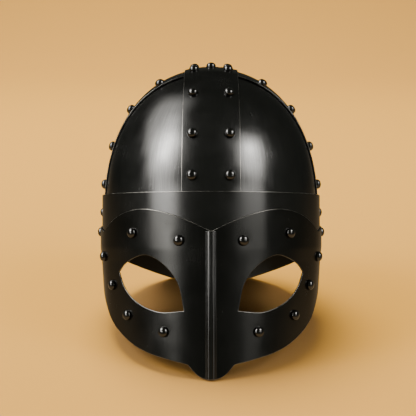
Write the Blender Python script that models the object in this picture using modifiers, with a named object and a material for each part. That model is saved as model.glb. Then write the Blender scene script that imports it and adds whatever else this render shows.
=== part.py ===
"""Norse spectacle helmet in blackened sheet steel, resting on its nasal and its nape.

Four dished plates lie under two crossed straps, a brow band holds their feet, and a
spectacle mask with a nose ridge is riveted to the front of the band. Every rivet is a
piece of its own, with a domed head outside, a shank through drilled holes and a peened
tail inside.

The pieces are modelled upright in the helmet's own frame: X to the wearer's left as seen
from the front, Y to the back, Z up, with Z = 0 at the band's lower edge over the brow.
An empty then leans the whole helmet back until the nasal and the nape stand on Z = 0.
"""

import math

import bmesh
import bpy
import numpy as np
from mathutils import Matrix, Vector

# Sheet steel and the gap between sheets that lie on each other
SHEET = 0.0012
SEAM = 0.0005
MASK_SEAM = 0.0003

# Dome, measured to the outside of its plates
HALF_WIDTH = 0.0990
HALF_LENGTH = 0.1160
SPRING_HEIGHT = 0.034
DOME_RISE = 0.1374
DOME_FULLNESS = 2.15
DOME_FOOT = 0.020
CROWN_LEAN = 0.034
CROWN_LEAN_POWER = 3

# Crossed straps, and how far the plates reach in under them
STRAP_WIDTH = 0.0486
PLATE_LAP = 0.0183
CORNER_TRIM = 0.008
STRAP_STEP = 0.015
CROSS_SWEEP = 0.009

# Brow band, which falls behind the ears to the nape
BAND_HEIGHT = 0.048
NAPE_DEPTH = 0.0332
NAPE_FALL = 0.054
NAPE_START_TURN = 88.0
NAPE_EASE = 0.12

# Spectacle mask
MASK_HALF_TURN = 104.0
BROW_HEIGHT = 0.0338
BRIDGE_HEIGHT = 0.0150
NASAL_DROP = 0.1065
NASAL_RADIUS = 0.0205
CHEEK_DROP = 0.0946
CHEEK_TUCK = 0.0006
TUCK_DEPTH = 0.012
CHEEK_CLOSING = 0.062
EAR_FADE_TURN = 84.0
EAR_FADE_WIDTH = 14.0
EAR_NOTCH_TURN = 68.0

# Eye openings, as turns from the nose and heights
EYE_INNER_TURN = 13.0
EYE_OUTER_TURN = 51.4
EYE_TOP = -0.0050
EYE_HEIGHT = 0.0473

# Nose ridge, brazed on the mask
RIDGE_WIDTH = 0.0098
RIDGE_HEIGHT = 0.0027
RIDGE_FOOT_GAP = 0.0010

# Rivets
HEAD_DIAMETER = 0.0084
HEAD_HEIGHT = 0.0039
SHANK_DIAMETER = 0.0040
TAIL_DIAMETER = 0.0060
TAIL_HEIGHT = 0.0012
HOLE_CLEARANCE = 0.0003
SEAT_GAP = 0.0003
TAIL_GAP = 0.0008
RIVET_LINE = 0.0155
BAND_RIVET_HEIGHT = 0.0325

# Facets
PLATE_COLUMNS = 11
PLATE_ROWS = 16
STRAP_COLUMNS = 5
STRAP_ROWS = 36
BAND_COLUMNS = 60
MASK_COLUMNS = 36
MASK_LOWER_ROWS = 4
MASK_UPPER_ROWS = 2
KNEE_SHARE = 0.3
EYE_STEPS = 2
RIVET_SIDES = 7

QUARTER_TURN = math.pi / 2
SEARCH_STEPS = 40
CUTTER_REACH = 0.012
PIN_REACH = 0.010

# Angles of the rivet rows down from the crown, in degrees
LONG_STRAP_ROWS = (33.6, 58.2, 76.5)
CROSS_STRAP_ROWS = (21.8, 38.1, 56.5, 75.9)

# Rivets of the mask on one side: turn from the nose in degrees, height as a share of the
# nasal's drop, and whether the rivet also goes through the band
MASK_RIVETS = (
    # name, turn, height, through_band
    ("brow_inner", 14.8, 0.070, True),
    ("brow_outer", 40.0, 0.126, True),
    ("ear", 92.0, 0.128, True),
    ("temple", 69.0, -0.075, False),
    ("cheek_upper", 58.4, -0.304, False),
    ("cheek_lower", 45.5, -0.534, False),
    ("cheek_inner", 23.3, -0.641, False),
)

# Upper edge of the mask: turn in degrees, height as a share of BROW_HEIGHT
BROW_ARCH = (
    # turn, height
    (0.0, 0.444),
    (10.0, 0.695),
    (18.0, 0.852),
    (26.4, 0.961),
    (34.6, 1.000),
    (43.0, 0.947),
    (53.2, 0.784),
    (60.0, 0.630),
    (68.0, 0.430),
)
EAR_LOBE = (
    # turn, height
    (68.0, 0.430),
    (76.0, 0.480),
    (84.0, 0.545),
    (93.0, 0.570),
    (100.0, 0.490),
    (104.0, 0.340),
)

# Lower edge of the cheek, from the nasal to the ear: turn in degrees, depth as a share of
# CHEEK_DROP
CHEEK_EDGE = (
    # turn, depth
    (10.4, 1.000),
    (22.0, 0.959),
    (32.0, 0.921),
    (42.4, 0.862),
    (50.0, 0.800),
    (57.0, 0.736),
    (64.5, 0.650),
    (71.0, 0.550),
    (79.0, 0.430),
    (88.0, 0.270),
    (96.0, 0.100),
    (101.0, -0.010),
    (104.0, -0.080),
)

# Outline of an eye opening: share of the way from the inner to the outer corner, and
# share of the way from the lowest to the highest point
EYE_UPPER_EDGE = (
    # outward, upward
    (1.000, 0.672),
    (0.883, 0.814),
    (0.720, 0.925),
    (0.536, 1.000),
    (0.390, 0.958),
    (0.242, 0.825),
    (0.125, 0.643),
    (0.050, 0.430),
    (0.000, 0.040),
)
EYE_LOWER_EDGE = (
    # outward, upward
    (0.000, 0.040),
    (0.270, 0.000),
    (0.448, 0.036),
    (0.617, 0.116),
    (0.776, 0.241),
    (0.911, 0.423),
    (1.000, 0.672),
)

# Half section of the nose ridge: shares of its half width and of its height
RIDGE_SECTION = (
    # across, out
    (1.00, 0.20),
    (0.82, 0.80),
    (0.66, 0.86),
    (0.58, 0.60),
    (0.50, 0.84),
    (0.14, 1.00),
    (0.00, 0.70),
)

# Heights of the sheet faces above the outside of the dome plates
STRAP_INNER = SEAM
STRAP_OUTER = STRAP_INNER + SHEET
UPPER_STRAP_INNER = STRAP_OUTER + SEAM
UPPER_STRAP_OUTER = UPPER_STRAP_INNER + SHEET
BAND_INNER = STRAP_OUTER + SEAM
BAND_OUTER = BAND_INNER + SHEET
MASK_INNER = BAND_OUTER + MASK_SEAM
MASK_OUTER = MASK_INNER + SHEET


def clear_scene():
    """Removes every object that is already in the scene."""
    for old in list(bpy.data.objects):
        bpy.data.objects.remove(old, do_unlink=True)


def make_collection(name):
    """A collection of that name, linked to the scene."""
    made = bpy.data.collections.new(name)
    bpy.context.scene.collection.children.link(made)
    return made


def make_material(name, colour, roughness):
    """A metallic Principled BSDF of that colour and roughness."""
    material = bpy.data.materials.new(name)
    material.use_nodes = True
    shader = material.node_tree.nodes["Principled BSDF"]
    shader.inputs["Base Color"].default_value = (*colour, 1.0)
    shader.inputs["Roughness"].default_value = roughness
    shader.inputs["Metallic"].default_value = 1.0
    return material


def through(rows, at):
    """The second column of a table at a value of its first, on a smooth curve through the rows."""
    xs = [row[0] for row in rows]
    ys = [row[1] for row in rows]
    slopes = np.gradient(ys, xs)
    i = min(max(int(np.searchsorted(xs, at)) - 1, 0), len(xs) - 2)
    width = xs[i + 1] - xs[i]
    t = min(max((at - xs[i]) / width, 0.0), 1.0)
    start = ys[i] * (1 + 2 * t) + slopes[i] * width * t
    end = ys[i + 1] * (3 - 2 * t) - slopes[i + 1] * width * (1 - t)
    return start * (1 - t) ** 2 + end * t**2


def smooth_path(points, steps):
    """Points along a smooth open curve through the given ones, with that many steps a stretch."""
    p = np.array(points, float)
    tangents = np.gradient(p, axis=0)
    path = []
    for i in range(len(p) - 1):
        for t in np.linspace(0, 1, steps, endpoint=False):
            start = p[i] * (1 + 2 * t) + tangents[i] * t
            end = p[i + 1] * (3 - 2 * t) - tangents[i + 1] * (1 - t)
            path.append(start * (1 - t) ** 2 + end * t**2)
    return path


def dome_shares(point):
    """Where a point lies on the dome's plan, its climb, and how far the plan's middle leans back."""
    climb = max((point.z - SPRING_HEIGHT) / DOME_RISE, 0.0)
    lean = CROWN_LEAN * climb**CROWN_LEAN_POWER
    girth = math.hypot(point.x / HALF_WIDTH, (point.y - lean) / HALF_LENGTH)
    return girth, climb, lean


def dome_excess(point):
    """Below zero inside the dome, zero on it and above zero outside."""
    girth, climb, _ = dome_shares(point)
    return girth**DOME_FULLNESS + climb**DOME_FULLNESS - 1


def dome_normal(point):
    """Unit vector out of the dome at a point on it."""
    girth, climb, lean = dome_shares(point)
    spread = girth ** (DOME_FULLNESS - 2)
    across = spread * point.x / HALF_WIDTH**2
    back = spread * (point.y - lean) / HALF_LENGTH**2
    lean_slope = CROWN_LEAN * CROWN_LEAN_POWER * climb ** (CROWN_LEAN_POWER - 1) / DOME_RISE
    up = climb ** (DOME_FULLNESS - 1) / DOME_RISE - back * lean_slope
    return Vector((across, back, up)).normalized()


def dome_crossing(start, direction):
    """Where a line from inside the dome meets its surface."""
    near, far = 0.0, 2 * max(HALF_WIDTH, HALF_LENGTH, DOME_RISE)
    for _ in range(SEARCH_STEPS):
        middle = (near + far) / 2
        if dome_excess(start + direction * middle) < 0:
            near = middle
        else:
            far = middle
    return start + direction * near


def wall_point(turn, height, lift):
    """A point on the upright wall under the dome; turn is in degrees from the nose, to +X."""
    angle = math.radians(turn)
    across = (HALF_WIDTH + lift) * math.sin(angle)
    back = -(HALF_LENGTH + lift) * math.cos(angle)
    return Vector((across, back, height))


def wall_normal(turn):
    """Unit vector out of the upright wall at a turn."""
    angle = math.radians(turn)
    return Vector((math.sin(angle) / HALF_WIDTH, -math.cos(angle) / HALF_LENGTH, 0)).normalized()


def cheek_inset(turn, height):
    """How far the mask closes in below the band; the ear lobes stay upright against it."""
    depth = max(-height, 0.0)
    tuck = CHEEK_TUCK * min(depth / TUCK_DEPTH, 1.0)
    past = min(max((abs(turn) - EAR_FADE_TURN) / EAR_FADE_WIDTH, 0.0), 1.0)
    return (tuck + CHEEK_CLOSING * depth) * (1 - past * past * (3 - 2 * past))


def mask_point(turn, height, lift):
    """A point on the mask, whose cheeks close in below the band."""
    point = wall_point(turn, height, lift)
    point.x -= cheek_inset(turn, height) * math.sin(math.radians(turn))
    return point


def mask_normal(turn, height):
    """Unit vector out of the mask, from the stretch of it that a rivet's head covers."""
    reach = HEAD_DIAMETER / 2
    swing = math.degrees(reach / HALF_WIDTH)
    along = mask_point(turn + swing, height, 0.0) - mask_point(turn - swing, height, 0.0)
    up = mask_point(turn, height + reach, 0.0) - mask_point(turn, height - reach, 0.0)
    return along.cross(up).normalized()


def long_strap_point(across, angle, lift=0.0):
    """A point over the strap from nose to nape; angle is from the crown, towards the nape."""
    direction = Vector((0, math.sin(angle), math.cos(angle)))
    point = dome_crossing(Vector((across, 0, SPRING_HEIGHT)), direction)
    return point + dome_normal(point) * lift


def cross_strap_point(across, angle, lift=0.0):
    """A point over the strap from ear to ear; angle is from the crown, towards +X."""
    direction = Vector((math.sin(angle), 0, math.cos(angle)))
    swept = across + CROSS_SWEEP * math.sin(angle) ** 2
    point = dome_crossing(Vector((0, swept, SPRING_HEIGHT)), direction)
    return point + dome_normal(point) * lift


def upper_strap_lift(point):
    """How far the long strap's inner face stands off the dome: it steps up over the cross strap."""
    past = (abs(point.y) - STRAP_WIDTH / 2 - SHEET) / STRAP_STEP
    step = 1 - min(max(past, 0.0), 1.0)
    return STRAP_INNER + (UPPER_STRAP_INNER - STRAP_INNER) * step * step * (3 - 2 * step)


def strap_stations():
    """The rows of a strap: (angle from the crown, height) with a height only on the upright feet."""
    angles = np.linspace(-QUARTER_TURN, QUARTER_TURN, STRAP_ROWS + 1)
    bend = [(angle, None) for angle in angles]
    return [(-QUARTER_TURN, DOME_FOOT)] + bend + [(QUARTER_TURN, DOME_FOOT)]


def grid_mesh(name, columns, rows, place):
    """An open surface of columns by rows faces, whose corner i, j lies at place(i, j)."""
    work = bmesh.new()
    bmesh.ops.create_grid(work, x_segments=columns, y_segments=rows, size=1.0)
    for vertex in work.verts:
        i = round((vertex.co.x + 1) / 2 * columns)
        j = round((vertex.co.y + 1) / 2 * rows)
        vertex.co = place(i, j)
    work.normal_update()
    if sum(face.normal.dot(face.calc_center_median()) for face in work.faces) < 0:
        bmesh.ops.reverse_faces(work, faces=work.faces)
    bmesh.ops.remove_doubles(work, verts=work.verts, dist=SEAM / 100)
    mesh = bpy.data.meshes.new(name)
    work.to_mesh(mesh)
    work.free()
    return mesh


class Helmet:
    """Collects the pieces, their cutters and the empty that carries them."""

    def __init__(self):
        self.parts = make_collection("norse_helmet")
        self.cutters = make_collection("helmet_cutters")
        self.stance = bpy.data.objects.new("helmet_stance", None)
        self.parts.objects.link(self.stance)
        self.plate_steel = make_material("blackened_plate_steel", (0.030, 0.030, 0.028), 0.34)
        self.strap_steel = make_material("blackened_strap_steel", (0.022, 0.022, 0.021), 0.38)
        self.rivet_steel = make_material("polished_black_rivet", (0.055, 0.055, 0.055), 0.16)
        self.rivets = []

    def add(self, name, mesh, material):
        """Adds one piece, carried by the stance."""
        piece = bpy.data.objects.new(name, mesh)
        piece.data.materials.append(material)
        piece.parent = self.stance
        self.parts.objects.link(piece)
        return piece

    def add_cutter(self, name, mesh, carried=True):
        """Adds a helper that only cuts or joins."""
        cutter = bpy.data.objects.new(name, mesh)
        cutter.display_type = "WIRE"
        cutter.hide_render = True
        if carried:
            cutter.parent = self.stance
        self.cutters.objects.link(cutter)
        return cutter


def thicken(piece):
    """Gives an open surface the sheet's thickness, on its outer side."""
    solidify = piece.modifiers.new("sheet", "SOLIDIFY")
    solidify.thickness = SHEET
    solidify.offset = 1.0
    return piece


def combine(piece, tool, operation):
    """Cuts or joins a piece with a tool."""
    boolean = piece.modifiers.new(tool.name, "BOOLEAN")
    boolean.operation = operation
    boolean.object = tool
    boolean.solver = "EXACT"


def plate_mesh(name, side, end):
    """One quarter of the dome: side is 1 or -1 along X, end is 1 at the back and -1 in front."""
    inset = STRAP_WIDTH / 2 - PLATE_LAP
    steepest = math.atan2(DOME_RISE, CORNER_TRIM)
    climbs = np.linspace(0, steepest, PLATE_ROWS)
    stations = [(0.0, DOME_FOOT)] + [(angle, None) for angle in climbs]

    def place(i, j):
        climb, height = stations[j]
        turn = QUARTER_TURN * i / PLATE_COLUMNS
        flat = math.cos(climb)
        swept = CROSS_SWEEP * flat**2
        start = Vector((side * inset, swept + end * inset, SPRING_HEIGHT))
        aim = Vector((side * flat * math.sin(turn), end * flat * math.cos(turn), math.sin(climb)))
        point = dome_crossing(start, aim)
        point -= dome_normal(point) * SHEET
        if height is not None:
            point.z = height
        return point

    return grid_mesh(name, PLATE_COLUMNS, PLATE_ROWS, place)


def strap_mesh(name, surface, lift_of):
    """A strap over the crown; surface gives its points and lift_of their height over the dome."""
    stations = strap_stations()

    def place(i, j):
        across = STRAP_WIDTH * (i / STRAP_COLUMNS - 0.5)
        angle, height = stations[j]
        point = surface(across, angle, lift_of(surface(across, angle)))
        if height is not None:
            point.z = height
        return point

    return grid_mesh(name, STRAP_COLUMNS, len(stations) - 1, place)


def band_foot(turn):
    """Height of the band's lower edge before it is ground flat at the nape."""
    past = (abs(turn) - NAPE_START_TURN) / (180 - NAPE_START_TURN)
    past = max(past, 0.0)
    eased = past**2 / (2 * NAPE_EASE) if past < NAPE_EASE else past - NAPE_EASE / 2
    return -NAPE_FALL * eased


def band_mesh(name):
    """The brow band as a closed ring."""

    def place(i, j):
        turn = 360 * i / BAND_COLUMNS - 180
        return wall_point(turn, BAND_HEIGHT if j else band_foot(turn), BAND_INNER)

    return grid_mesh(name, BAND_COLUMNS, 1, place)


def mask_upper_edge(turn):
    """Height of the mask's upper edge: a brow arch, then a lobe over the ear."""
    turn = abs(turn)
    rows = BROW_ARCH if turn < EAR_NOTCH_TURN else EAR_LOBE
    return BROW_HEIGHT * through(rows, turn)


def nasal_turn():
    """The turn at which the nasal's round end meets the cheek's lower edge."""
    above_centre = NASAL_DROP - NASAL_RADIUS - CHEEK_DROP
    across = math.sqrt(NASAL_RADIUS**2 - above_centre**2)
    return math.degrees(math.asin(across / (HALF_WIDTH + MASK_INNER)))


def mask_lower_edge(turn):
    """Height of the mask's lower edge: a round nasal, then the cheek up to the ear."""
    turn = abs(turn)
    if turn > nasal_turn():
        return -CHEEK_DROP * through(CHEEK_EDGE, turn)
    across = (HALF_WIDTH + MASK_INNER) * math.sin(math.radians(turn))
    return NASAL_RADIUS - math.sqrt(NASAL_RADIUS**2 - across**2) - NASAL_DROP


def mask_turns():
    """The turns of the mask's columns, closer together at the nose, with one at each notch."""
    half = MASK_COLUMNS // 2
    turns = [MASK_HALF_TURN * (i / half) ** 1.15 for i in range(1, half + 1)]
    for kink in (nasal_turn(), EAR_NOTCH_TURN):
        nearest = min(range(half), key=lambda i: abs(turns[i] - kink))
        turns[nearest] = kink
    return [-turn for turn in reversed(turns)] + [0.0] + turns


def mask_mesh(name):
    """The spectacle mask before its eye openings are cut."""
    turns = mask_turns()

    def place(i, j):
        low, high = mask_lower_edge(turns[i]), mask_upper_edge(turns[i])
        knee = max(low + (high - low) * KNEE_SHARE, 0.0)
        if j < MASK_LOWER_ROWS:
            height = low + (knee - low) * j / MASK_LOWER_ROWS
        else:
            height = knee + (high - knee) * (j - MASK_LOWER_ROWS) / MASK_UPPER_ROWS
        return mask_point(turns[i], height, MASK_INNER)

    return grid_mesh(name, MASK_COLUMNS, MASK_LOWER_ROWS + MASK_UPPER_ROWS, place)


def eye_outline(side):
    """The outline of an eye opening as (turn, height) pairs."""
    upper = smooth_path(EYE_UPPER_EDGE, EYE_STEPS)
    lower = smooth_path(EYE_LOWER_EDGE, EYE_STEPS)
    outline = []
    for outward, upward in upper + lower:
        turn = EYE_INNER_TURN + (EYE_OUTER_TURN - EYE_INNER_TURN) * outward
        outline.append((side * turn, EYE_TOP - EYE_HEIGHT * (1 - upward)))
    return outline


def bridge_loops(name, inner, outer):
    """A closed body between two loops of the same number of points."""
    work = bmesh.new()
    rims = []
    for loop in (inner, outer):
        corners = [work.verts.new(point) for point in loop]
        rims += [work.edges.new(pair) for pair in zip(corners, corners[1:] + corners[:1])]
    bmesh.ops.bridge_loops(work, edges=rims)
    bmesh.ops.holes_fill(work, edges=work.edges)
    bmesh.ops.recalc_face_normals(work, faces=work.faces)
    mesh = bpy.data.meshes.new(name)
    work.to_mesh(mesh)
    work.free()
    return mesh


def eye_cutter_mesh(name, side):
    """A plug through the mask with the outline of an eye opening."""
    outline = eye_outline(side)
    inner = [mask_point(turn, height, MASK_INNER - CUTTER_REACH) for turn, height in outline]
    outer = [mask_point(turn, height, MASK_OUTER + CUTTER_REACH) for turn, height in outline]
    return bridge_loops(name, inner, outer)


def ridge_mesh(name):
    """The bar down the nose, sunk into the mask's sheet by half its thickness."""
    face = -(HALF_LENGTH + MASK_OUTER)
    top = BRIDGE_HEIGHT
    foot = RIDGE_FOOT_GAP - NASAL_DROP
    half = RIDGE_WIDTH / 2
    right = [(half * across, RIDGE_HEIGHT * out) for across, out in RIDGE_SECTION]
    left = [(-across, out) for across, out in reversed(right[:-1])]
    sunk = [(-half, -SHEET / 2), (half, -SHEET / 2)]
    work = bmesh.new()
    corners = [work.verts.new((across, face - out, foot)) for across, out in right + left + sunk]
    end = work.faces.new(corners)
    drawn = bmesh.ops.extrude_face_region(work, geom=[end])
    moved = [part for part in drawn["geom"] if isinstance(part, bmesh.types.BMVert)]
    bmesh.ops.translate(work, verts=moved, vec=(0, 0, top - foot))
    bmesh.ops.recalc_face_normals(work, faces=work.faces)
    mesh = bpy.data.meshes.new(name)
    work.to_mesh(mesh)
    work.free()
    return mesh


def rivet_profile(low, high):
    """The turned outline of a rivet through sheets from low to high, as (radius, height) pairs."""
    head_radius = HEAD_DIAMETER / 2
    shank_radius = SHANK_DIAMETER / 2
    tail_radius = TAIL_DIAMETER / 2
    seat = high + SEAT_GAP
    tail = low - TAIL_GAP
    shoulder = math.radians(48)
    return (
        (0.0, seat + HEAD_HEIGHT),
        (head_radius * math.cos(shoulder), seat + HEAD_HEIGHT * math.sin(shoulder)),
        (head_radius, seat),
        (shank_radius, seat),
        (shank_radius, tail),
        (tail_radius, tail),
        (0.0, tail - TAIL_HEIGHT),
    )


def profile_mesh(name, profile):
    """The turned outline as a line of edges at +X, from the top of the axis to its bottom."""
    work = bmesh.new()
    dots = [work.verts.new((radius, 0, height)) for radius, height in profile]
    for pair in zip(dots, dots[1:]):
        work.edges.new(pair)
    mesh = bpy.data.meshes.new(name)
    work.to_mesh(mesh)
    work.free()
    return mesh


def turn_profile(piece):
    """Turns a profile round Z into a closed body."""
    screw = piece.modifiers.new("turned", "SCREW")
    screw.steps = RIVET_SIDES
    screw.render_steps = RIVET_SIDES
    screw.use_merge_vertices = True
    screw.merge_threshold = 0.0001
    screw.use_smooth_shade = True


def standing_on(point, normal):
    """A matrix that puts an object's origin at a point, with its Z along a normal."""
    return Matrix.Translation(point) @ normal.to_track_quat("Z", "Y").to_matrix().to_4x4()


def add_rivet(helmet, name, point, normal, low, high):
    """Adds one rivet; low and high are the stack's inner and outer faces above the point."""
    rivet = helmet.add(name, profile_mesh(name, rivet_profile(low, high)), helmet.rivet_steel)
    rivet.matrix_basis = standing_on(point, normal)
    turn_profile(rivet)
    helmet.rivets.append(rivet)


def add_crown_rivets(helmet):
    """The rivet on the crown and the four at the corners of the crossing."""
    crown = long_strap_point(0.0, 0.0)
    add_rivet(helmet, "crown_rivet", crown, dome_normal(crown), STRAP_INNER, UPPER_STRAP_OUTER)
    for end, end_name in ((-1, "front"), (1, "back")):
        for side, side_name in ((-1, "right"), (1, "left")):
            angle = end * math.atan2(RIVET_LINE, DOME_RISE)
            point = long_strap_point(side * RIVET_LINE, angle)
            name = f"crossing_rivet_{end_name}_{side_name}"
            add_rivet(helmet, name, point, dome_normal(point), -SHEET, UPPER_STRAP_OUTER)


def add_strap_rivets(helmet):
    """Two lines of rivets down each leg of each strap."""
    for end, end_name in ((-1, "front"), (1, "back")):
        for row, angle in enumerate(LONG_STRAP_ROWS, 1):
            for side, side_name in ((-1, "right"), (1, "left")):
                point = long_strap_point(side * RIVET_LINE, end * math.radians(angle))
                lift = upper_strap_lift(point)
                name = f"long_strap_rivet_{end_name}_{row}_{side_name}"
                add_rivet(helmet, name, point, dome_normal(point), -SHEET, lift + SHEET)
    for side, side_name in ((-1, "right"), (1, "left")):
        for row, angle in enumerate(CROSS_STRAP_ROWS, 1):
            for end, end_name in ((-1, "front"), (1, "back")):
                point = cross_strap_point(end * RIVET_LINE, side * math.radians(angle))
                name = f"cross_strap_rivet_{side_name}_{row}_{end_name}"
                add_rivet(helmet, name, point, dome_normal(point), -SHEET, STRAP_OUTER)


def add_band_rivets(helmet):
    """One rivet where the band holds each strap end behind the mask."""
    side_turn = 90 + math.degrees(math.asin(CROSS_SWEEP / HALF_LENGTH))
    for turn, place_name in ((-side_turn, "right"), (side_turn, "left"), (180, "back")):
        point = wall_point(turn, BAND_RIVET_HEIGHT, 0.0)
        name = f"band_rivet_{place_name}"
        add_rivet(helmet, name, point, wall_normal(turn), STRAP_INNER, BAND_OUTER)


def add_mask_rivets(helmet):
    """The rivets round each eye and at the ears."""
    for side, side_name in ((-1, "right"), (1, "left")):
        for place_name, turn, height, through_band in MASK_RIVETS:
            place = (side * turn, NASAL_DROP * height)
            point = mask_point(*place, MASK_INNER)
            low = BAND_INNER - MASK_INNER if through_band else 0.0
            name = f"mask_rivet_{place_name}_{side_name}"
            add_rivet(helmet, name, point, mask_normal(*place), low, SHEET)


def hole_cutter_mesh(name, helmet):
    """One pin through the sheets for each rivet, a clearance wider than its shank."""
    work = bmesh.new()
    for rivet in helmet.rivets:
        bmesh.ops.create_cone(
            work,
            cap_ends=True,
            segments=RIVET_SIDES,
            radius1=SHANK_DIAMETER / 2 + HOLE_CLEARANCE,
            radius2=SHANK_DIAMETER / 2 + HOLE_CLEARANCE,
            depth=2 * PIN_REACH,
            matrix=rivet.matrix_basis @ Matrix.Rotation(-QUARTER_TURN, 4, "Z"),
        )
    mesh = bpy.data.meshes.new(name)
    work.to_mesh(mesh)
    work.free()
    return mesh


def rivet_points(rivet):
    """The corners of a turned rivet, in the helmet's upright frame."""
    turns = [Matrix.Rotation(2 * math.pi * k / RIVET_SIDES, 4, "Z") for k in range(RIVET_SIDES)]
    return [rivet.matrix_basis @ turn @ dot.co for turn in turns for dot in rivet.data.vertices]


def stance_matrix(helmet):
    """Leans the helmet back until the nasal's tip and the nape's foot stand on the ground."""
    nasal_back = -(HALF_LENGTH + MASK_INNER)
    nape_back = HALF_LENGTH + BAND_OUTER
    lean = math.atan2(NASAL_DROP - NAPE_DEPTH, nape_back - nasal_back)
    turn = Matrix.Rotation(-lean, 4, "X")
    tip = turn @ Vector((0, nasal_back, -NASAL_DROP))
    ridge_face = -(HALF_LENGTH + MASK_OUTER + RIDGE_HEIGHT)
    front = turn @ Vector((0, ridge_face, RIDGE_FOOT_GAP - NASAL_DROP))
    back = max((turn @ point).y for rivet in helmet.rivets for point in rivet_points(rivet))
    return Matrix.Translation((0, -(front.y + back) / 2, -tip.z)) @ turn


def floor_cutter_mesh(name):
    """A block whose top face is the ground that the nape stands on."""
    work = bmesh.new()
    bmesh.ops.create_cube(work, size=4 * HALF_LENGTH)
    bmesh.ops.translate(work, verts=work.verts, vec=(0, 0, -2 * HALF_LENGTH))
    mesh = bpy.data.meshes.new(name)
    work.to_mesh(mesh)
    work.free()
    return mesh


def build():
    """Builds the whole helmet."""
    clear_scene()
    helmet = Helmet()
    add_crown_rivets(helmet)
    add_strap_rivets(helmet)
    add_band_rivets(helmet)
    add_mask_rivets(helmet)
    holes = helmet.add_cutter("rivet_holes", hole_cutter_mesh("rivet_holes", helmet))

    sheets = []
    for end, end_name in ((-1, "front"), (1, "back")):
        for side, side_name in ((-1, "right"), (1, "left")):
            name = f"dome_plate_{end_name}_{side_name}"
            mesh = plate_mesh(name, side, end)
            sheets.append(thicken(helmet.add(name, mesh, helmet.plate_steel)))
    mesh = strap_mesh("long_strap", long_strap_point, upper_strap_lift)
    sheets.append(thicken(helmet.add("long_strap", mesh, helmet.strap_steel)))
    mesh = strap_mesh("cross_strap", cross_strap_point, lambda _: STRAP_INNER)
    sheets.append(thicken(helmet.add("cross_strap", mesh, helmet.strap_steel)))
    band = thicken(helmet.add("brow_band", band_mesh("brow_band"), helmet.strap_steel))
    mask = thicken(helmet.add("spectacle_mask", mask_mesh("spectacle_mask"), helmet.strap_steel))
    sheets += [band, mask]

    floor = helmet.add_cutter("ground_at_nape", floor_cutter_mesh("ground_at_nape"), carried=False)
    combine(band, floor, "DIFFERENCE")
    combine(mask, helmet.add_cutter("nose_ridge", ridge_mesh("nose_ridge")), "UNION")
    for side, side_name in ((-1, "right"), (1, "left")):
        name = f"eye_opening_{side_name}"
        combine(mask, helmet.add_cutter(name, eye_cutter_mesh(name, side)), "DIFFERENCE")
    for sheet in sheets:
        combine(sheet, holes, "DIFFERENCE")
    helmet.stance.matrix_world = stance_matrix(helmet)


build()
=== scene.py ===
"""Looks of a Norse spectacle helmet in blackened sheet steel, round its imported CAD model.

Every sheet and rivet of the model is rebuilt as a smooth, finely divided mesh on the same
surfaces, with rounded rims, and takes a procedural finish: brushed black plates, oiled black
straps and band, a satin black mask and polished black rivets. The stage is a plain pale
ground under soft studio light.
"""

import logging
import math
from dataclasses import dataclass, field
from enum import Enum
from typing import Callable

import bmesh
import bpy
import numpy as np
from mathutils import Matrix, Vector
from mathutils.geometry import delaunay_2d_cdt


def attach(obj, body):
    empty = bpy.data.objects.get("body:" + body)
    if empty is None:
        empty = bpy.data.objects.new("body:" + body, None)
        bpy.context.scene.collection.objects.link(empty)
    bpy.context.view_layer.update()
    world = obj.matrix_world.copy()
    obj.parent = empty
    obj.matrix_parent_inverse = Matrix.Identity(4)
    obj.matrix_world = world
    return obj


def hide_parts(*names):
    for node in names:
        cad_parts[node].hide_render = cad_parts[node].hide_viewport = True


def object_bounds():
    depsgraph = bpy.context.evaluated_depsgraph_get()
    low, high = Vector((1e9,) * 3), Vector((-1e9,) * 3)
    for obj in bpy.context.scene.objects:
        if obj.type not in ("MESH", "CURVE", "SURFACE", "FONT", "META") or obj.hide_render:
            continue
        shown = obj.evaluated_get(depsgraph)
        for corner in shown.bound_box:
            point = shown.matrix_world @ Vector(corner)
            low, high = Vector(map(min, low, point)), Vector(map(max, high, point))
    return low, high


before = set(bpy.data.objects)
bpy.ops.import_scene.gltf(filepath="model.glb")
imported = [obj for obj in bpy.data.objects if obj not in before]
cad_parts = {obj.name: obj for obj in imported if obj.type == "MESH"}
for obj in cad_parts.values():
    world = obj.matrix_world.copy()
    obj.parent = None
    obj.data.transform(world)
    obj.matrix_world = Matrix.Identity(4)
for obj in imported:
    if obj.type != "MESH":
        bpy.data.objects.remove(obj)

LOG = logging.getLogger("norse_helmet")
CAD_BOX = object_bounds()
MILLIMETRE = 0.001
MERGE_DISTANCE = MILLIMETRE / 200
MESH_TOLERANCE = 1e-7
LEAST_RISE = 1e-12
QUARTER_TURN = math.pi / 2
SEARCH_STEPS = 40
IMAGE_SIDE = 416
# A noise keeps near the middle of its range, so these spans of it are read as all of it
WIDE_SPAN = {"From Min": 0.25, "From Max": 0.75}
MIDDLE_SPAN = {"From Min": 0.3, "From Max": 0.7}
NARROW_SPAN = {"From Min": 0.35, "From Max": 0.65}

Rows = tuple[tuple[float, float], ...]
Colour = tuple[float, float, float, float]
Triple = tuple[float, float, float]
Surface = Callable[[np.ndarray, np.ndarray], np.ndarray]
Lift = Callable[[np.ndarray], np.ndarray]


class Side(Enum):
    """The two sides of the helmet, as the wearer names them."""

    RIGHT = -1
    LEFT = 1


class End(Enum):
    """The two ends of the helmet."""

    FRONT = -1
    BACK = 1


def srgb(code: str) -> Triple:
    """Linear colour of an sRGB hex code.

    Args:
        code: six hex digits with a leading hash.

    Returns:
        The red, green and blue shares in linear light.
    """
    shares = [int(code[i : i + 2], 16) / 255 for i in (1, 3, 5)]
    return tuple(s / 12.92 if s <= 0.04045 else ((s + 0.055) / 1.055) ** 2.4 for s in shares)


def eased(share: np.ndarray) -> np.ndarray:
    """A share from 0 to 1 with a soft start and end."""
    return share * share * (3 - 2 * share)


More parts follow.
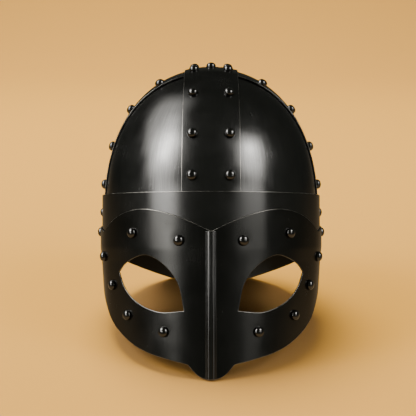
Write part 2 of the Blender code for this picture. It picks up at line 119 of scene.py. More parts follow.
def through(rows: Rows, at: np.ndarray) -> np.ndarray:
    """Reads a table of measured shares on a smooth curve.

    Args:
        rows: (position, share) pairs in rising order.
        at: the positions to read.

    Returns:
        The share at each position.
    """
    xs = np.array([row[0] for row in rows], float)
    ys = np.array([row[1] for row in rows], float)
    slopes = np.gradient(ys, xs)
    i = np.clip(np.searchsorted(xs, at) - 1, 0, len(xs) - 2)
    width = xs[i + 1] - xs[i]
    t = np.clip((at - xs[i]) / width, 0, 1)
    start = ys[i] * (1 + 2 * t) + slopes[i] * width * t
    end = ys[i + 1] * (3 - 2 * t) - slopes[i + 1] * width * (1 - t)
    return start * (1 - t) ** 2 + end * t**2


def smooth_path(points: Rows, steps: int) -> np.ndarray:
    """Points along a smooth open curve, without its last point.

    Args:
        points: the points that the curve passes through.
        steps: how many steps each stretch is cut into.

    Returns:
        An array with one row a point.
    """
    p = np.array(points, float)
    tangents = np.gradient(p, axis=0)
    t = np.linspace(0, 1, steps, endpoint=False)[:, None]
    path = []
    for i in range(len(p) - 1):
        start = p[i] * (1 + 2 * t) + tangents[i] * t
        end = p[i + 1] * (3 - 2 * t) - tangents[i + 1] * (1 - t)
        path.append(start * (1 - t) ** 2 + end * t**2)
    return np.concatenate(path)


def dotted(loop: np.ndarray) -> np.ndarray:
    """A closed outline with three more dots between each two of its own."""
    after = np.roll(loop, -1, axis=0)
    return np.concatenate([loop + (after - loop) * share for share in (0, 0.25, 0.5, 0.75)])


def rimmed(low: float, high: float, count: int, rim: float) -> np.ndarray:
    """Stations from low to high, with one close to each end to hold the rim's shading.

    Args:
        low: the first station.
        high: the last station.
        count: how many even steps lie between.
        rim: how far from each end the extra station lies.

    Returns:
        The stations in rising order.
    """
    inner = np.linspace(low, high, count + 1)[1:-1]
    return np.concatenate(([low, low + rim], inner, [high - rim, high]))


def inside(points: np.ndarray, loop: np.ndarray) -> np.ndarray:
    """Which points of the plane lie inside a closed outline.

    Args:
        points: one point a row.
        loop: the outline's corners, one a row.

    Returns:
        A truth value for each point.
    """
    after = np.roll(loop, -1, axis=0)
    hits = np.zeros(len(points), int)
    for a, b in zip(loop, after):
        spans = (a[1] > points[:, 1]) != (b[1] > points[:, 1])
        rise = b[1] - a[1] if b[1] != a[1] else LEAST_RISE
        cut = a[0] + (points[:, 1] - a[1]) / rise * (b[0] - a[0])
        hits += spans & (points[:, 0] < cut)
    return hits % 2 == 1


def reach(points: np.ndarray, dots: np.ndarray, batch: int = 512) -> np.ndarray:
    """Distance of each point from the nearest of some dots.

    Args:
        points: one point a row.
        dots: one dot a row.
        batch: how many points are measured at once, which bounds the memory.

    Returns:
        One distance a point.
    """
    near = np.full(len(points), np.inf)
    for start in range(0, len(points), batch):
        gap = points[start : start + batch, None] - dots[None]
        near[start : start + batch] = np.hypot(gap[..., 0], gap[..., 1]).min(axis=1)
    return near


@dataclass(frozen=True)
class HelmetForm:
    """The surfaces that every sheet lies on, in the helmet's own upright frame, in metres."""

    sheet: float = 0.0012
    seam: float = 0.0005
    half_width: float = 0.0990
    half_length: float = 0.1160
    spring_height: float = 0.034
    dome_rise: float = 0.1374
    fullness: float = 2.15
    crown_lean: float = 0.034
    lean_power: int = 3
    dome_foot: float = 0.020
    nasal_drop: float = 0.1065
    nape_depth: float = 0.0332
    ridge_height: float = 0.0027
    ridge_foot_gap: float = 0.0010
    mask_seam: float = 0.0003
    cheek_tuck: float = 0.0006
    tuck_depth: float = 0.012
    cheek_closing: float = 0.062
    ear_fade_turn: float = 84.0
    ear_fade_width: float = 14.0
    head_reach: float = 0.0042

    @property
    def strap_outer(self) -> float:
        """Height of a lower strap's outer face over the plates."""
        return self.seam + self.sheet

    @property
    def upper_strap_inner(self) -> float:
        """Height of the long strap's inner face where it crosses the other strap."""
        return self.strap_outer + self.seam

    @property
    def band_inner(self) -> float:
        """Height of the band's inner face over the plates."""
        return self.strap_outer + self.seam

    @property
    def band_outer(self) -> float:
        """Height of the band's outer face over the plates."""
        return self.band_inner + self.sheet

    @property
    def mask_inner(self) -> float:
        """Height of the mask's inner face over the plates."""
        return self.band_outer + self.mask_seam

    @property
    def mask_outer(self) -> float:
        """Height of the mask's outer face over the plates."""
        return self.mask_inner + self.sheet

    def shares(self, p: np.ndarray) -> tuple[np.ndarray, np.ndarray, np.ndarray]:
        """Reads where points on or near the dome lie on its form.

        Args:
            p: one point a row.

        Returns:
            Each point's share of the plan, its share of the climb and the lean there.
        """
        climb = np.maximum((p[:, 2] - self.spring_height) / self.dome_rise, 0)
        lean = self.crown_lean * climb**self.lean_power
        girth = np.hypot(p[:, 0] / self.half_width, (p[:, 1] - lean) / self.half_length)
        return girth, climb, lean

    def normals(self, p: np.ndarray) -> np.ndarray:
        """Directions square to the dome.

        Args:
            p: one point of the dome a row.

        Returns:
            One outward unit vector a row.
        """
        girth, climb, lean = self.shares(p)
        spread = girth ** (self.fullness - 2)
        across = spread * p[:, 0] / self.half_width**2
        back = spread * (p[:, 1] - lean) / self.half_length**2
        slope = self.crown_lean * self.lean_power * climb ** (self.lean_power - 1)
        up = climb ** (self.fullness - 1) / self.dome_rise - back * slope / self.dome_rise
        out = np.stack((across, back, up), axis=1)
        return out / np.linalg.norm(out, axis=1, keepdims=True)

    def crossings(self, start: np.ndarray, aim: np.ndarray) -> np.ndarray:
        """Where lines from inside the dome meet its surface.

        Args:
            start: one start point a row.
            aim: one direction a row.

        Returns:
            One point a row.
        """
        near = np.zeros(len(aim))
        far = np.full(len(aim), 2 * max(self.half_width, self.half_length, self.dome_rise))
        for _ in range(SEARCH_STEPS):
            middle = (near + far) / 2
            girth, climb, _ = self.shares(start + aim * middle[:, None])
            within = girth**self.fullness + climb**self.fullness < 1
            near = np.where(within, middle, near)
            far = np.where(within, far, middle)
        return start + aim * near[:, None]

    def wall(self, turn: np.ndarray, height: np.ndarray, lift: float) -> np.ndarray:
        """Points on the upright wall under the dome.

        Args:
            turn: degrees from the nose, towards +X.
            height: metres over the wall's zero level.
            lift: metres outside the plates.

        Returns:
            One point a row.
        """
        angle = np.radians(turn)
        across = (self.half_width + lift) * np.sin(angle)
        back = -(self.half_length + lift) * np.cos(angle)
        return np.stack((across, back, height + 0 * angle), axis=1)

    def wall_normal(self, turn: float) -> Vector:
        """Direction square to the upright wall.

        Args:
            turn: degrees from the nose, towards +X.

        Returns:
            An outward unit vector.
        """
        angle = math.radians(turn)
        across = math.sin(angle) / self.half_width
        return Vector((across, -math.cos(angle) / self.half_length, 0)).normalized()

    def cheek(self, turn: np.ndarray, height: np.ndarray, lift: float) -> np.ndarray:
        """Points on the mask, whose cheeks close in below the band and whose ears stay upright.

        Args:
            turn: degrees from the nose, towards +X.
            height: metres over the wall's zero level.
            lift: metres outside the plates.

        Returns:
            One point a row.
        """
        p = self.wall(turn, height, lift)
        depth = np.maximum(-height, 0)
        tuck = self.cheek_tuck * np.minimum(depth / self.tuck_depth, 1)
        past = np.clip((np.abs(turn) - self.ear_fade_turn) / self.ear_fade_width, 0, 1)
        inset = (tuck + self.cheek_closing * depth) * (1 - eased(past))
        p[:, 0] -= inset * np.sin(np.radians(turn))
        return p

    def cheek_normal(self, turn: float, height: float) -> Vector:
        """Direction square to the stretch of mask that a rivet's head covers.

        Args:
            turn: degrees from the nose, towards +X.
            height: metres over the wall's zero level.

        Returns:
            An outward unit vector.
        """
        swing = math.degrees(self.head_reach / self.half_width)
        turns = np.array([turn - swing, turn + swing, turn, turn])
        heights = height + self.head_reach * np.array([0, 0, -1, 1])
        p = self.cheek(turns, heights, 0.0)
        return Vector(p[1] - p[0]).cross(Vector(p[3] - p[2])).normalized()

    def stance(self) -> Matrix:
        """Leans the helmet back onto its nasal and nape, where the CAD model stands.

        Returns:
            The transform from the upright frame to the standing helmet.
        """
        nasal_back = -(self.half_length + self.mask_inner)
        nape_back = self.half_length + self.band_outer
        lean = math.atan2(self.nasal_drop - self.nape_depth, nape_back - nasal_back)
        turn = Matrix.Rotation(-lean, 4, "X")
        tip = turn @ Vector((0, nasal_back, -self.nasal_drop))
        face = -(self.half_length + self.mask_outer + self.ridge_height)
        front = turn @ Vector((0, face, self.ridge_foot_gap - self.nasal_drop))
        return Matrix.Translation((0, CAD_BOX[0][1] - front.y, -tip.z)) @ turn


def add_node(
    tree: bpy.types.NodeTree, kind: str, inputs: dict | None = None, **settings: object
) -> bpy.types.Node:
    """Adds a node with its settings, values and links.

    Args:
        tree: the node tree that gets it.
        kind: Blender's name of the node type.
        inputs: for each input, by name or number, a value or the socket that feeds it.
        **settings: the node's own properties.

    Returns:
        The new node.
    """
    node = tree.nodes.new(kind)
    for key, value in settings.items():
        setattr(node, key, value)
    for key, value in (inputs or {}).items():
        if isinstance(key, int):
            sockets = [node.inputs[key]]
        else:
            sockets = [s for s in node.inputs if s.name == key and s.enabled]
        if isinstance(value, bpy.types.NodeSocket):
            tree.links.new(value, sockets[0])
        else:
            sockets[0].default_value = value
    return node


@dataclass(frozen=True)
class BlackenedSteel:
    """Mild steel sheet, brushed or rubbed, then blackened in hot salts and oiled.

    The oxide is near black, so the eye sees only its reflections: broad soft ones on the
    brushed plates, tighter ones on the rubbed straps. The rims are painted pale: partly bare
    steel where handling has rubbed the oxide thin, partly a painted highlight along every rim.
    """

    name: str
    oxide: str
    # Pale colour of the rims: partly rubbed-bare steel, partly a painted highlight
    wear_and_sheen: str
    roughness: float
    brush_width_mm: float = 0.8
    brush_length_mm: float = 30.0
    brush_depth_mm: float = 0.004
    streak: float = 0.02
    lines: float = 0.03
    mottle_mm: float = 26.0
    mottle: float = 0.05
    patch_mm: float = 7.0
    # How far the rims take the pale colour, which paints their highlight as well as bare steel
    rim_wear_and_sheen: float = 0.8
    least_wear_and_sheen: float = 0.35
    rim_roughness: float = 0.5
    grey: Colour = (0.5, 0.5, 0.5, 1.0)

    def build(self) -> bpy.types.Material:
        """Makes the Blender material.

        Returns:
            The material, which reads the mesh's brush coordinates and rim attribute.
        """
        material = bpy.data.materials.new(self.name)
        material.use_nodes = True
        tree = material.node_tree
        shader = tree.nodes["Principled BSDF"]
        shader.inputs["Metallic"].default_value = 1.0
        shader.inputs["Specular Tint"].default_value = self.grey
        place = add_node(tree, "ShaderNodeTexCoord").outputs["Object"]
        brush = self.brush_lines(tree)
        wear_and_sheen = self.wear_and_sheen_rims(tree, place)
        depth = self.brush_depth_mm * MILLIMETRE
        relief = {"Height": brush, "Strength": 1.0, "Distance": depth}
        bump = add_node(tree, "ShaderNodeBump", relief)
        tree.links.new(self.colour(tree, brush, wear_and_sheen), shader.inputs["Base Color"])
        tree.links.new(self.gloss(tree, place, brush, wear_and_sheen), shader.inputs["Roughness"])
        tree.links.new(bump.outputs["Normal"], shader.inputs["Normal"])
        return material

    def brush_lines(self, tree: bpy.types.NodeTree) -> bpy.types.NodeSocket:
        """Adds the brush lines: real ones are a tenth of a millimetre, drawn wide enough to show.

        Args:
            tree: the material's node tree.

        Returns:
            The socket with their height, from 0 to 1.
        """
        flat = add_node(tree, "ShaderNodeUVMap", uv_map="brush")
        across = 1 / (self.brush_width_mm * MILLIMETRE)
        along = 1 / (self.brush_length_mm * MILLIMETRE)
        stretch = {"Vector": flat.outputs["UV"], "Scale": (across, along, 1.0)}
        drawn = add_node(tree, "ShaderNodeMapping", stretch)
        grain = {"Vector": drawn.outputs["Vector"], "Scale": 1.0, "Detail": 3.0, "Roughness": 0.6}
        return add_node(tree, "ShaderNodeTexNoise", grain).outputs["Fac"]

    def wear_and_sheen_rims(
        self, tree: bpy.types.NodeTree, place: bpy.types.NodeSocket
    ) -> bpy.types.NodeSocket:
        """Adds the pale rims, partly rubbed-bare steel and partly a painted highlight, in patches,
        so their line is broken.

        Args:
            tree: the material's node tree.
            place: the socket with the place on the piece.

        Returns:
            The socket with how pale the rim is painted, as bare steel and highlight, from 0 to 1.
        """
        rim = add_node(tree, "ShaderNodeAttribute", attribute_name="rim")
        size = {"Vector": place, "Scale": 1 / (self.patch_mm * MILLIMETRE), "Detail": 3.0}
        patches = add_node(tree, "ShaderNodeTexNoise", size)
        bare = {"To Min": self.least_wear_and_sheen * self.rim_wear_and_sheen, "To Max": self.rim_wear_and_sheen}
        source = {"Value": patches.outputs["Fac"], **NARROW_SPAN, **bare}
        patchy = add_node(tree, "ShaderNodeMapRange", source)
        both = {0: rim.outputs["Fac"], 1: patchy.outputs["Result"]}
        return add_node(tree, "ShaderNodeMath", both, operation="MULTIPLY").outputs["Value"]

    def colour(
        self, tree: bpy.types.NodeTree, brush: bpy.types.NodeSocket, wear_and_sheen: bpy.types.NodeSocket
    ) -> bpy.types.NodeSocket:
        """Adds the colour: oxide with lines where the brush left it thinner, pale on the rims as
        bare steel and painted highlight.

        Args:
            tree: the material's node tree.
            brush: the socket with the brush lines.
            wear_and_sheen: the socket with how pale the rim is painted, as bare steel and
                highlight.

        Returns:
            The socket with the colour.
        """
        # The rims mix towards the pale colour: rubbed-bare steel and a painted highlight in one
        ends = {"A": (*srgb(self.oxide), 1.0), "B": (*srgb(self.wear_and_sheen), 1.0)}
        steel = add_node(tree, "ShaderNodeMix", {"Factor": wear_and_sheen, **ends}, data_type="RGBA")
        tone = {"To Min": 1 - self.lines, "To Max": 1 + self.lines}
        lined = add_node(tree, "ShaderNodeMapRange", {"Value": brush, **MIDDLE_SPAN, **tone})
        both = {0: steel.outputs[2], "Scale": lined.outputs["Result"]}
        return add_node(tree, "ShaderNodeVectorMath", both, operation="SCALE").outputs["Vector"]

    def gloss(
        self,
        tree: bpy.types.NodeTree,
        place: bpy.types.NodeSocket,
        brush: bpy.types.NodeSocket,
        wear_and_sheen: bpy.types.NodeSocket,
    ) -> bpy.types.NodeSocket:
        """Adds the roughness: streaks of the brush and clouds of uneven blackening.

        Args:
            tree: the material's node tree.
            place: the socket with the place on the piece.
            brush: the socket with the brush lines.
            wear_and_sheen: the socket with how pale the rim is painted, as bare steel and
                highlight.

        Returns:
            The socket with the roughness, higher on rims, which have lost their polish too.
        """
        size = {"Scale": 1 / (self.mottle_mm * MILLIMETRE), "Detail": 4.0, "Roughness": 0.55}
        clouds = add_node(tree, "ShaderNodeTexNoise", {"Vector": place, **size})
        swing = {"To Min": -self.mottle, "To Max": self.mottle}
        source = {"Value": clouds.outputs["Fac"], **MIDDLE_SPAN, **swing}
        cloudy = add_node(tree, "ShaderNodeMapRange", source)
        swing = {"To Min": self.roughness - self.streak, "To Max": self.roughness + self.streak}
        streaky = add_node(tree, "ShaderNodeMapRange", {"Value": brush, **WIDE_SPAN, **swing})
        both = {0: streaky.outputs["Result"], 1: cloudy.outputs["Result"]}
        rough = add_node(tree, "ShaderNodeMath", both, operation="ADD")
        ends = {"A": rough.outputs["Value"], "B": self.rim_roughness}
        mixed = add_node(tree, "ShaderNodeMix", {"Factor": wear_and_sheen, **ends}, data_type="FLOAT")
        return mixed.outputs[0]


@dataclass(frozen=True)
class PolishedRivetSteel:
    """Black rivet steel, domed in a snap and polished, so it mirrors the lamps as points."""

    name: str = "polished_black_rivet_steel"
    colour: str = "#545454"
    roughness: float = 0.08
    smoother: float = 0.02
    rougher: float = 0.05
    flat_mm: float = 3.0
    flat_depth_mm: float = 0.04

    def build(self) -> bpy.types.Material:
        """Makes the Blender material.

        Returns:
            The material, with the small flats that the snap and the hammer leave.
        """
        material = bpy.data.materials.new(self.name)
        material.use_nodes = True
        tree = material.node_tree
        shader = tree.nodes["Principled BSDF"]
        shader.inputs["Metallic"].default_value = 1.0
        shader.inputs["Base Color"].default_value = (*srgb(self.colour), 1.0)
        place = add_node(tree, "ShaderNodeTexCoord").outputs["Object"]
        size = {"Vector": place, "Scale": 1 / (self.flat_mm * MILLIMETRE), "Detail": 1.0}
        flats = add_node(tree, "ShaderNodeTexNoise", size).outputs["Fac"]
        swing = {"To Min": self.roughness - self.smoother, "To Max": self.roughness + self.rougher}
        gloss = add_node(tree, "ShaderNodeMapRange", {"Value": flats, **MIDDLE_SPAN, **swing})
        depth = self.flat_depth_mm * MILLIMETRE
        relief = {"Height": flats, "Strength": 1.0, "Distance": depth}
        bump = add_node(tree, "ShaderNodeBump", relief)
        tree.links.new(gloss.outputs["Result"], shader.inputs["Roughness"])
        tree.links.new(bump.outputs["Normal"], shader.inputs["Normal"])
        return material


def finishes() -> dict[str, bpy.types.Material]:
    """Makes the helmet's finishes.

    Returns:
        Each finish's material under its short name.
    """
    # Each finish's pale rim colour paints both rubbed-bare steel and the highlight along its rims
    # Brushed, then blackened: fine streaks down the plates spread each softbox into a broad glow
    plate = BlackenedSteel(
        name="brushed_black_oxide_steel",
        oxide="#616161",
        wear_and_sheen="#B4B0A8",
        roughness=0.225,
        brush_width_mm=0.70,
        brush_length_mm=45,
        brush_depth_mm=0.024,
        streak=0.04,
        lines=0.15,
    )
    # Rubbed with oil: smoother and darker, with a clean bright line along each rim, painted as
    # bare steel and as a highlight
    strap = BlackenedSteel(
        name="oiled_black_oxide_steel", oxide="#5E5E5E", wear_and_sheen="#C4C0B8", roughness=0.22
    )
    # Left satin: the darkest sheet, whose reflections are soft and low in contrast
    mask = BlackenedSteel(
        name="satin_black_oxide_steel", oxide="#4B4B4A", wear_and_sheen="#B8B4AC", roughness=0.23
    )
    # Not polished at all: dull, and darker in colour than the outer faces, which paints part of
    # the shade inside the helmet so that it stays dark behind the eyes
    inner = BlackenedSteel(
        name="unpolished_black_oxide_steel",
        oxide="#4A4A48",
        wear_and_sheen="#4A4A48",
        roughness=0.55,
        brush_width_mm=2.0,
        brush_length_mm=6,
        brush_depth_mm=0.05,
        streak=0.06,
    )
    kinds = {"plate": plate, "strap": strap, "mask": mask, "inside": inner}
    made = {name: kind.build() for name, kind in kinds.items()}
    return {**made, "rivet": PolishedRivetSteel().build()}


def mesh_from(work: bmesh.types.BMesh, name: str) -> bpy.types.Mesh:
    """Turns a working mesh into a smooth-shaded Blender mesh and frees it.

    Args:
        work: the working mesh.
        name: the new mesh's name.

    Returns:
        The new mesh.
    """
    mesh = bpy.data.meshes.new(name)
    work.to_mesh(mesh)
    work.free()
    mesh.shade_smooth()
    return mesh


def face_outwards(work: bmesh.types.BMesh) -> None:
    """Turns an open sheet's faces away from the helmet's middle.

    Args:
        work: the working mesh, whose faces already agree with each other.
    """
    work.normal_update()
    if sum(face.normal.dot(face.calc_center_median()) for face in work.faces) < 0:
        bmesh.ops.reverse_faces(work, faces=work.faces)


def round_edges(piece: bpy.types.Object, name: str, width: float, sharpest: float) -> None:
    """Rounds a piece's sharp edges.

    Args:
        piece: the piece.
        name: the modifier's name.
        width: how far the rounding reaches, in metres.
        sharpest: the angle in degrees past which an edge is rounded.
    """
    soften = piece.modifiers.new(name, "BEVEL")
    soften.width = width
    soften.segments = 2
    soften.limit_method = "ANGLE"
    soften.angle_limit = math.radians(sharpest)


def grid_sheet(
    name: str,
    us: np.ndarray,
    vs: np.ndarray,
    place: Surface,
    rim: Surface,
    brush_scale: tuple[float, float],
) -> bpy.types.Mesh:
    """An open surface over a grid of stations.

    Args:
        name: the mesh's name.
        us: stations across.
        vs: stations along.
        place: gives the point at each pair of stations.
        rim: gives 1 at pairs on a rim that shows and 0 elsewhere.
        brush_scale: metres of brush coordinate for a unit of u and of v.

    Returns:
        The mesh, with its faces turned outwards.
    """
    work = bmesh.new()
    columns, rows = len(us) - 1, len(vs) - 1
    bmesh.ops.create_grid(work, x_segments=columns, y_segments=rows, size=1.0)
    grid = np.array([vertex.co for vertex in work.verts])
    i = np.rint((grid[:, 0] + 1) / 2 * columns).astype(int)
    j = np.rint((grid[:, 1] + 1) / 2 * rows).astype(int)
    u, v = us[i], vs[j]
    points, wear_and_sheen = place(u, v), rim(u, v)
    brush = work.loops.layers.uv.new("brush")
    rim_wear_and_sheen = work.verts.layers.float.new("rim")
    stations = {}
    for k, vertex in enumerate(work.verts):
        vertex.co = points[k]
        vertex[rim_wear_and_sheen] = float(wear_and_sheen[k])
        stations[vertex] = (u[k] * brush_scale[0], v[k] * brush_scale[1])
    for face in work.faces:
        for loop in face.loops:
            loop[brush].uv = stations[loop.vert]
    face_outwards(work)
    bmesh.ops.remove_doubles(work, verts=work.verts, dist=MERGE_DISTANCE)
    return mesh_from(work, name)


@dataclass
class Workshop:
    """Holds the form and the finishes, and dresses each piece."""

    form: HelmetForm
    finishes: dict[str, bpy.types.Material]
    dents: list[Vector] = field(default_factory=list)
    dent_depth: float = 0.00020
    dent_radius: float = 0.0060
    rim_sharpness: float = 50.0
    stance: Matrix = field(init=False)

    def __post_init__(self) -> None:
        """Works out where the helmet stands."""
        self.stance = self.form.stance()

    def place(
        self,
        name: str,
        mesh: bpy.types.Mesh,
        finish: str,
        slot: str,
        node: str | None,
        at: Matrix | None = None,
    ) -> bpy.types.Object:
        """Puts one piece on the helmet.

        Args:
            name: the piece's name.
            mesh: its mesh in the helmet's upright frame, or in its own frame with at.
            finish: key of its finish.
            slot: not used.
            node: the CAD node that it stands for, if any.
            at: where its own frame lies in the upright frame.

        Returns:
            The new object.
        """
        piece = bpy.data.objects.new(name, mesh)
        bpy.context.scene.collection.objects.link(piece)
        if not mesh.materials:
            mesh.materials.append(self.finishes[finish])
        if at is None:
            mesh.transform(self.stance)
        else:
            piece.matrix_world = self.stance @ at
        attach(piece, "root")
        if node:
            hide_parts(node)
        LOG.info("%s: %d faces", name, len(mesh.polygons))
        return piece

    def dish(self, mesh: bpy.types.Mesh) -> None:
        """Presses a sheet in slightly round each rivet, where its head was driven down.

        Args:
            mesh: the sheet, where the helmet stands.
        """
        count = len(mesh.vertices)
        spots, outward = np.empty(3 * count), np.empty(3 * count)
        mesh.vertices.foreach_get("co", spots)
        mesh.vertex_normals.foreach_get("vector", outward)
        spots, outward = spots.reshape(-1, 3), outward.reshape(-1, 3)
        gap = np.full(count, np.inf)
        for dent in self.dents:
            gap = np.minimum(gap, np.linalg.norm(spots - np.array(dent), axis=1))
        press = self.dent_depth * np.exp(-((gap / self.dent_radius) ** 2))
        mesh.vertices.foreach_set("co", (spots - outward * press[:, None]).ravel())
        mesh.update()

    def finish_sheet(self, piece: bpy.types.Object, rim_radius: float) -> None:
        """Dishes an open surface, gives it the sheet's thickness and rounds its rims.

        Args:
            piece: the sheet's piece.
            rim_radius: how far the rounding of its rims reaches.
        """
        self.dish(piece.data)
        # The inner faces take the darker inside finish, which paints part of the shade inside the
        # helmet
        piece.data.materials.append(self.finishes["inside"])
        solid = piece.modifiers.new("sheet", "SOLIDIFY")
        solid.thickness = self.form.sheet
        solid.offset = 1.0
        solid.material_offset = 1
        round_edges(piece, "rounded_rim", rim_radius, self.rim_sharpness)


@dataclass
class Dome:
    """Four dished plates under two crossed straps."""

    shop: Workshop
    strap_width: float = 0.0486
    plate_lap: float = 0.0183
    corner_trim: float = 0.008
    cross_sweep: float = 0.009
    strap_step: float = 0.015
    columns: int = 72
    rows: int = 96
    strap_columns: int = 20
    strap_rows: int = 220
    rim_radius: float = 0.00028
    rim_step: float = 0.0006
    # How pale each strap's rims are painted, as bare steel and as a painted highlight
    long_wear_and_sheen: float = 1.0
    cross_wear_and_sheen: float = 0.35

    def build(self) -> None:
        """Builds and dresses the plates, then the straps."""
        for end in End:
            for side in Side:
                self.add_plate(side, end)
        self.add_strap("long_strap", self.under_long, self.long_lift, self.long_wear_and_sheen)
        self.add_strap("cross_strap", self.under_cross, self.cross_lift, self.cross_wear_and_sheen)

    def add_plate(self, side: Side, end: End) -> None:
        """Adds one quarter of the dome.

        Args:
            side: its side of the helmet.
            end: its end of the helmet.
        """
        form = self.shop.form
        inset = self.strap_width / 2 - self.plate_lap
        steepest = math.atan2(form.dome_rise, self.corner_trim)
        foot = form.dome_foot - form.spring_height

        def place(turn: np.ndarray, climb: np.ndarray) -> np.ndarray:
            """Points on the plate's inner face, which hangs straight below the dome.

            Args:
                turn: radians round from the helmet's end to its side.
                climb: radians up, or metres down where it is below 0.

            Returns:
                One point a row.
            """
            angle = np.maximum(climb, 0)
            flat = np.cos(angle)
            swept = self.cross_sweep * flat**2
            base = (side.value * inset + 0 * flat, swept + end.value * inset)
            start = np.stack((*base, form.spring_height + 0 * flat), axis=1)
            across = side.value * flat * np.sin(turn)
            along = end.value * flat * np.cos(turn)
            p = form.crossings(start, np.stack((across, along, np.sin(angle)), axis=1))
            p -= form.normals(p) * form.sheet
            p[:, 2] += np.minimum(climb, 0)
            return p

        def rim(turn: np.ndarray, climb: np.ndarray) -> np.ndarray:
            """No rim of a plate shows, for each lies under a strap or the band."""
            return np.zeros(len(turn))

        name = f"dome_plate_{end.name.lower()}_{side.name.lower()}"
        turns = np.linspace(0, QUARTER_TURN, self.columns + 1)
        climbs = np.concatenate(([foot], np.linspace(0, steepest, self.rows)))
        scale = (form.half_width, form.dome_rise)
        mesh = grid_sheet(name, turns, climbs, place, rim, scale)
        piece = self.shop.place(f"{name}_brushed", mesh, "plate", "blackened_plate", name)
        self.shop.finish_sheet(piece, self.rim_radius)

    def cross_lift(self, p: np.ndarray) -> np.ndarray:
        """How far the cross strap stands off the dome: one seam all along."""
        return np.full(len(p), self.shop.form.seam)

    def long_lift(self, p: np.ndarray) -> np.ndarray:
        """How far the long strap stands off the dome: it steps up over the cross strap.

        Args:
            p: one point of the dome a row.

        Returns:
            The height of the strap's inner face at each point.
        """
        form = self.shop.form
        past = (np.abs(p[:, 1]) - self.strap_width / 2 - form.sheet) / self.strap_step
        step = 1 - np.clip(past, 0, 1)
        return form.seam + (form.upper_strap_inner - form.seam) * eased(step)

    def under_long(self, across: np.ndarray, angle: np.ndarray) -> np.ndarray:
        """Points of the dome under the strap from nose to nape.

        Args:
            across: metres from the strap's middle line.
            angle: radians from the crown, towards the back.

        Returns:
            One point a row.
        """
        form = self.shop.form
        level = form.spring_height + 0 * angle
        start = np.stack((across, 0 * angle, level), axis=1)
        return form.crossings(start, np.stack((0 * angle, np.sin(angle), np.cos(angle)), axis=1))

    def under_cross(self, across: np.ndarray, angle: np.ndarray) -> np.ndarray:
        """Points of the dome under the strap from ear to ear, which sweeps back at its feet.

        Args:
            across: metres from the strap's middle line.
            angle: radians from the crown, towards +X.

        Returns:
            One point a row.
        """
        form = self.shop.form
        swept = across + self.cross_sweep * np.sin(angle) ** 2
        start = np.stack((0 * angle, swept, form.spring_height + 0 * angle), axis=1)
        return form.crossings(start, np.stack((np.sin(angle), 0 * angle, np.cos(angle)), axis=1))

    def add_strap(self, name: str, under: Surface, lift: Lift, rim_wear_and_sheen: float) -> None:
        """Adds one strap with its feet behind the band.

        Args:
            name: the strap's name.
            under: gives the dome's points at (across, angle from the crown).
            lift: gives how far the strap's inner face stands off them.
            rim_wear_and_sheen: how pale its rims are painted, as bare steel and highlight, from 0
                to 1.
        """
        form = self.shop.form
        half = self.strap_width / 2
        foot = (form.spring_height - form.dome_foot) / form.dome_rise

        def place(across: np.ndarray, angle: np.ndarray) -> np.ndarray:
            """Points on the strap's inner face, whose feet hang straight down.

            Args:
                across: metres from the strap's middle line.
                angle: radians from the crown, past a quarter turn in the feet.

            Returns:
                One point a row.
            """
            held = np.clip(angle, -QUARTER_TURN, QUARTER_TURN)
            p = under(across, held)
            p = p + form.normals(p) * lift(p)[:, None]
            p[:, 2] -= np.abs(angle - held) * form.dome_rise
            return p

        def rim(across: np.ndarray, angle: np.ndarray) -> np.ndarray:
            """Painted pale along both long edges, as bare steel and as a highlight."""
            return rim_wear_and_sheen * (np.abs(across) > half - self.rim_step / 2)

        across = rimmed(-half, half, self.strap_columns, self.rim_step)
        bend = np.linspace(-QUARTER_TURN, QUARTER_TURN, self.strap_rows + 1)
        angles = np.concatenate(([-QUARTER_TURN - foot], bend, [QUARTER_TURN + foot]))
        mesh = grid_sheet(name, across, angles, place, rim, (1.0, form.dome_rise))
        piece = self.shop.place(f"{name}_oiled", mesh, "strap", "blackened_strap", name)
        self.shop.finish_sheet(piece, self.rim_radius)


@dataclass
class BrowBand:
    """One closed ring round the plates' feet, which falls behind the ears to the nape."""

    shop: Workshop
    height: float = 0.048
    nape_fall: float = 0.054
    nape_start: float = 88.0
    nape_ease: float = 0.12
    columns: int = 360
    rows: int = 24
    rim_radius: float = 0.00028
    rim_step: float = 0.0006

    def foot(self, turn: np.ndarray) -> np.ndarray:
        """Height of the lower edge before the nape is ground flat.

        Args:
            turn: degrees from the nose, towards +X.

        Returns:
            One height a turn.
        """
        past = np.maximum((np.abs(turn) - self.nape_start) / (180 - self.nape_start), 0)
        start = past**2 / (2 * self.nape_ease)
        return -self.nape_fall * np.where(past < self.nape_ease, start, past - self.nape_ease / 2)

    def ground_cut(self, turn: np.ndarray) -> np.ndarray:
        """Height at which the ground meets the band.

        Args:
            turn: degrees from the nose, towards +X.

        Returns:
            One height a turn.
        """
        stance = self.shop.stance
        back = self.shop.form.wall(turn, 0 * turn, self.shop.form.band_outer)[:, 1]
        slope, rise, lift = stance[2][1], stance[2][2], stance[2][3]
        return -(lift + slope * back) / rise

    def build(self) -> None:
        """Builds and dresses the band."""
        form = self.shop.form

        def place(turn: np.ndarray, share: np.ndarray) -> np.ndarray:
            """Points on the band's inner face, at a share of the way from foot to top."""
            low = np.maximum(self.foot(turn), self.ground_cut(turn))
            return form.wall(turn, low + (self.height - low) * share, form.band_inner)

        def rim(turn: np.ndarray, share: np.ndarray) -> np.ndarray:
            """Painted pale along its upper and its lower edge, as bare steel and as a highlight.
            """
            return np.isin(share, (0, 1)).astype(float)

        shares = rimmed(0.0, 1.0, self.rows, self.rim_step / self.height)
        turns = np.linspace(-180, 180, self.columns + 1)
        scale = (math.radians(form.half_length), self.height)
        mesh = grid_sheet("brow_band", turns, shares, place, rim, scale)
        piece = self.shop.place("brow_band_oiled", mesh, "strap", "blackened_strap", "brow_band")
        self.shop.finish_sheet(piece, self.rim_radius)


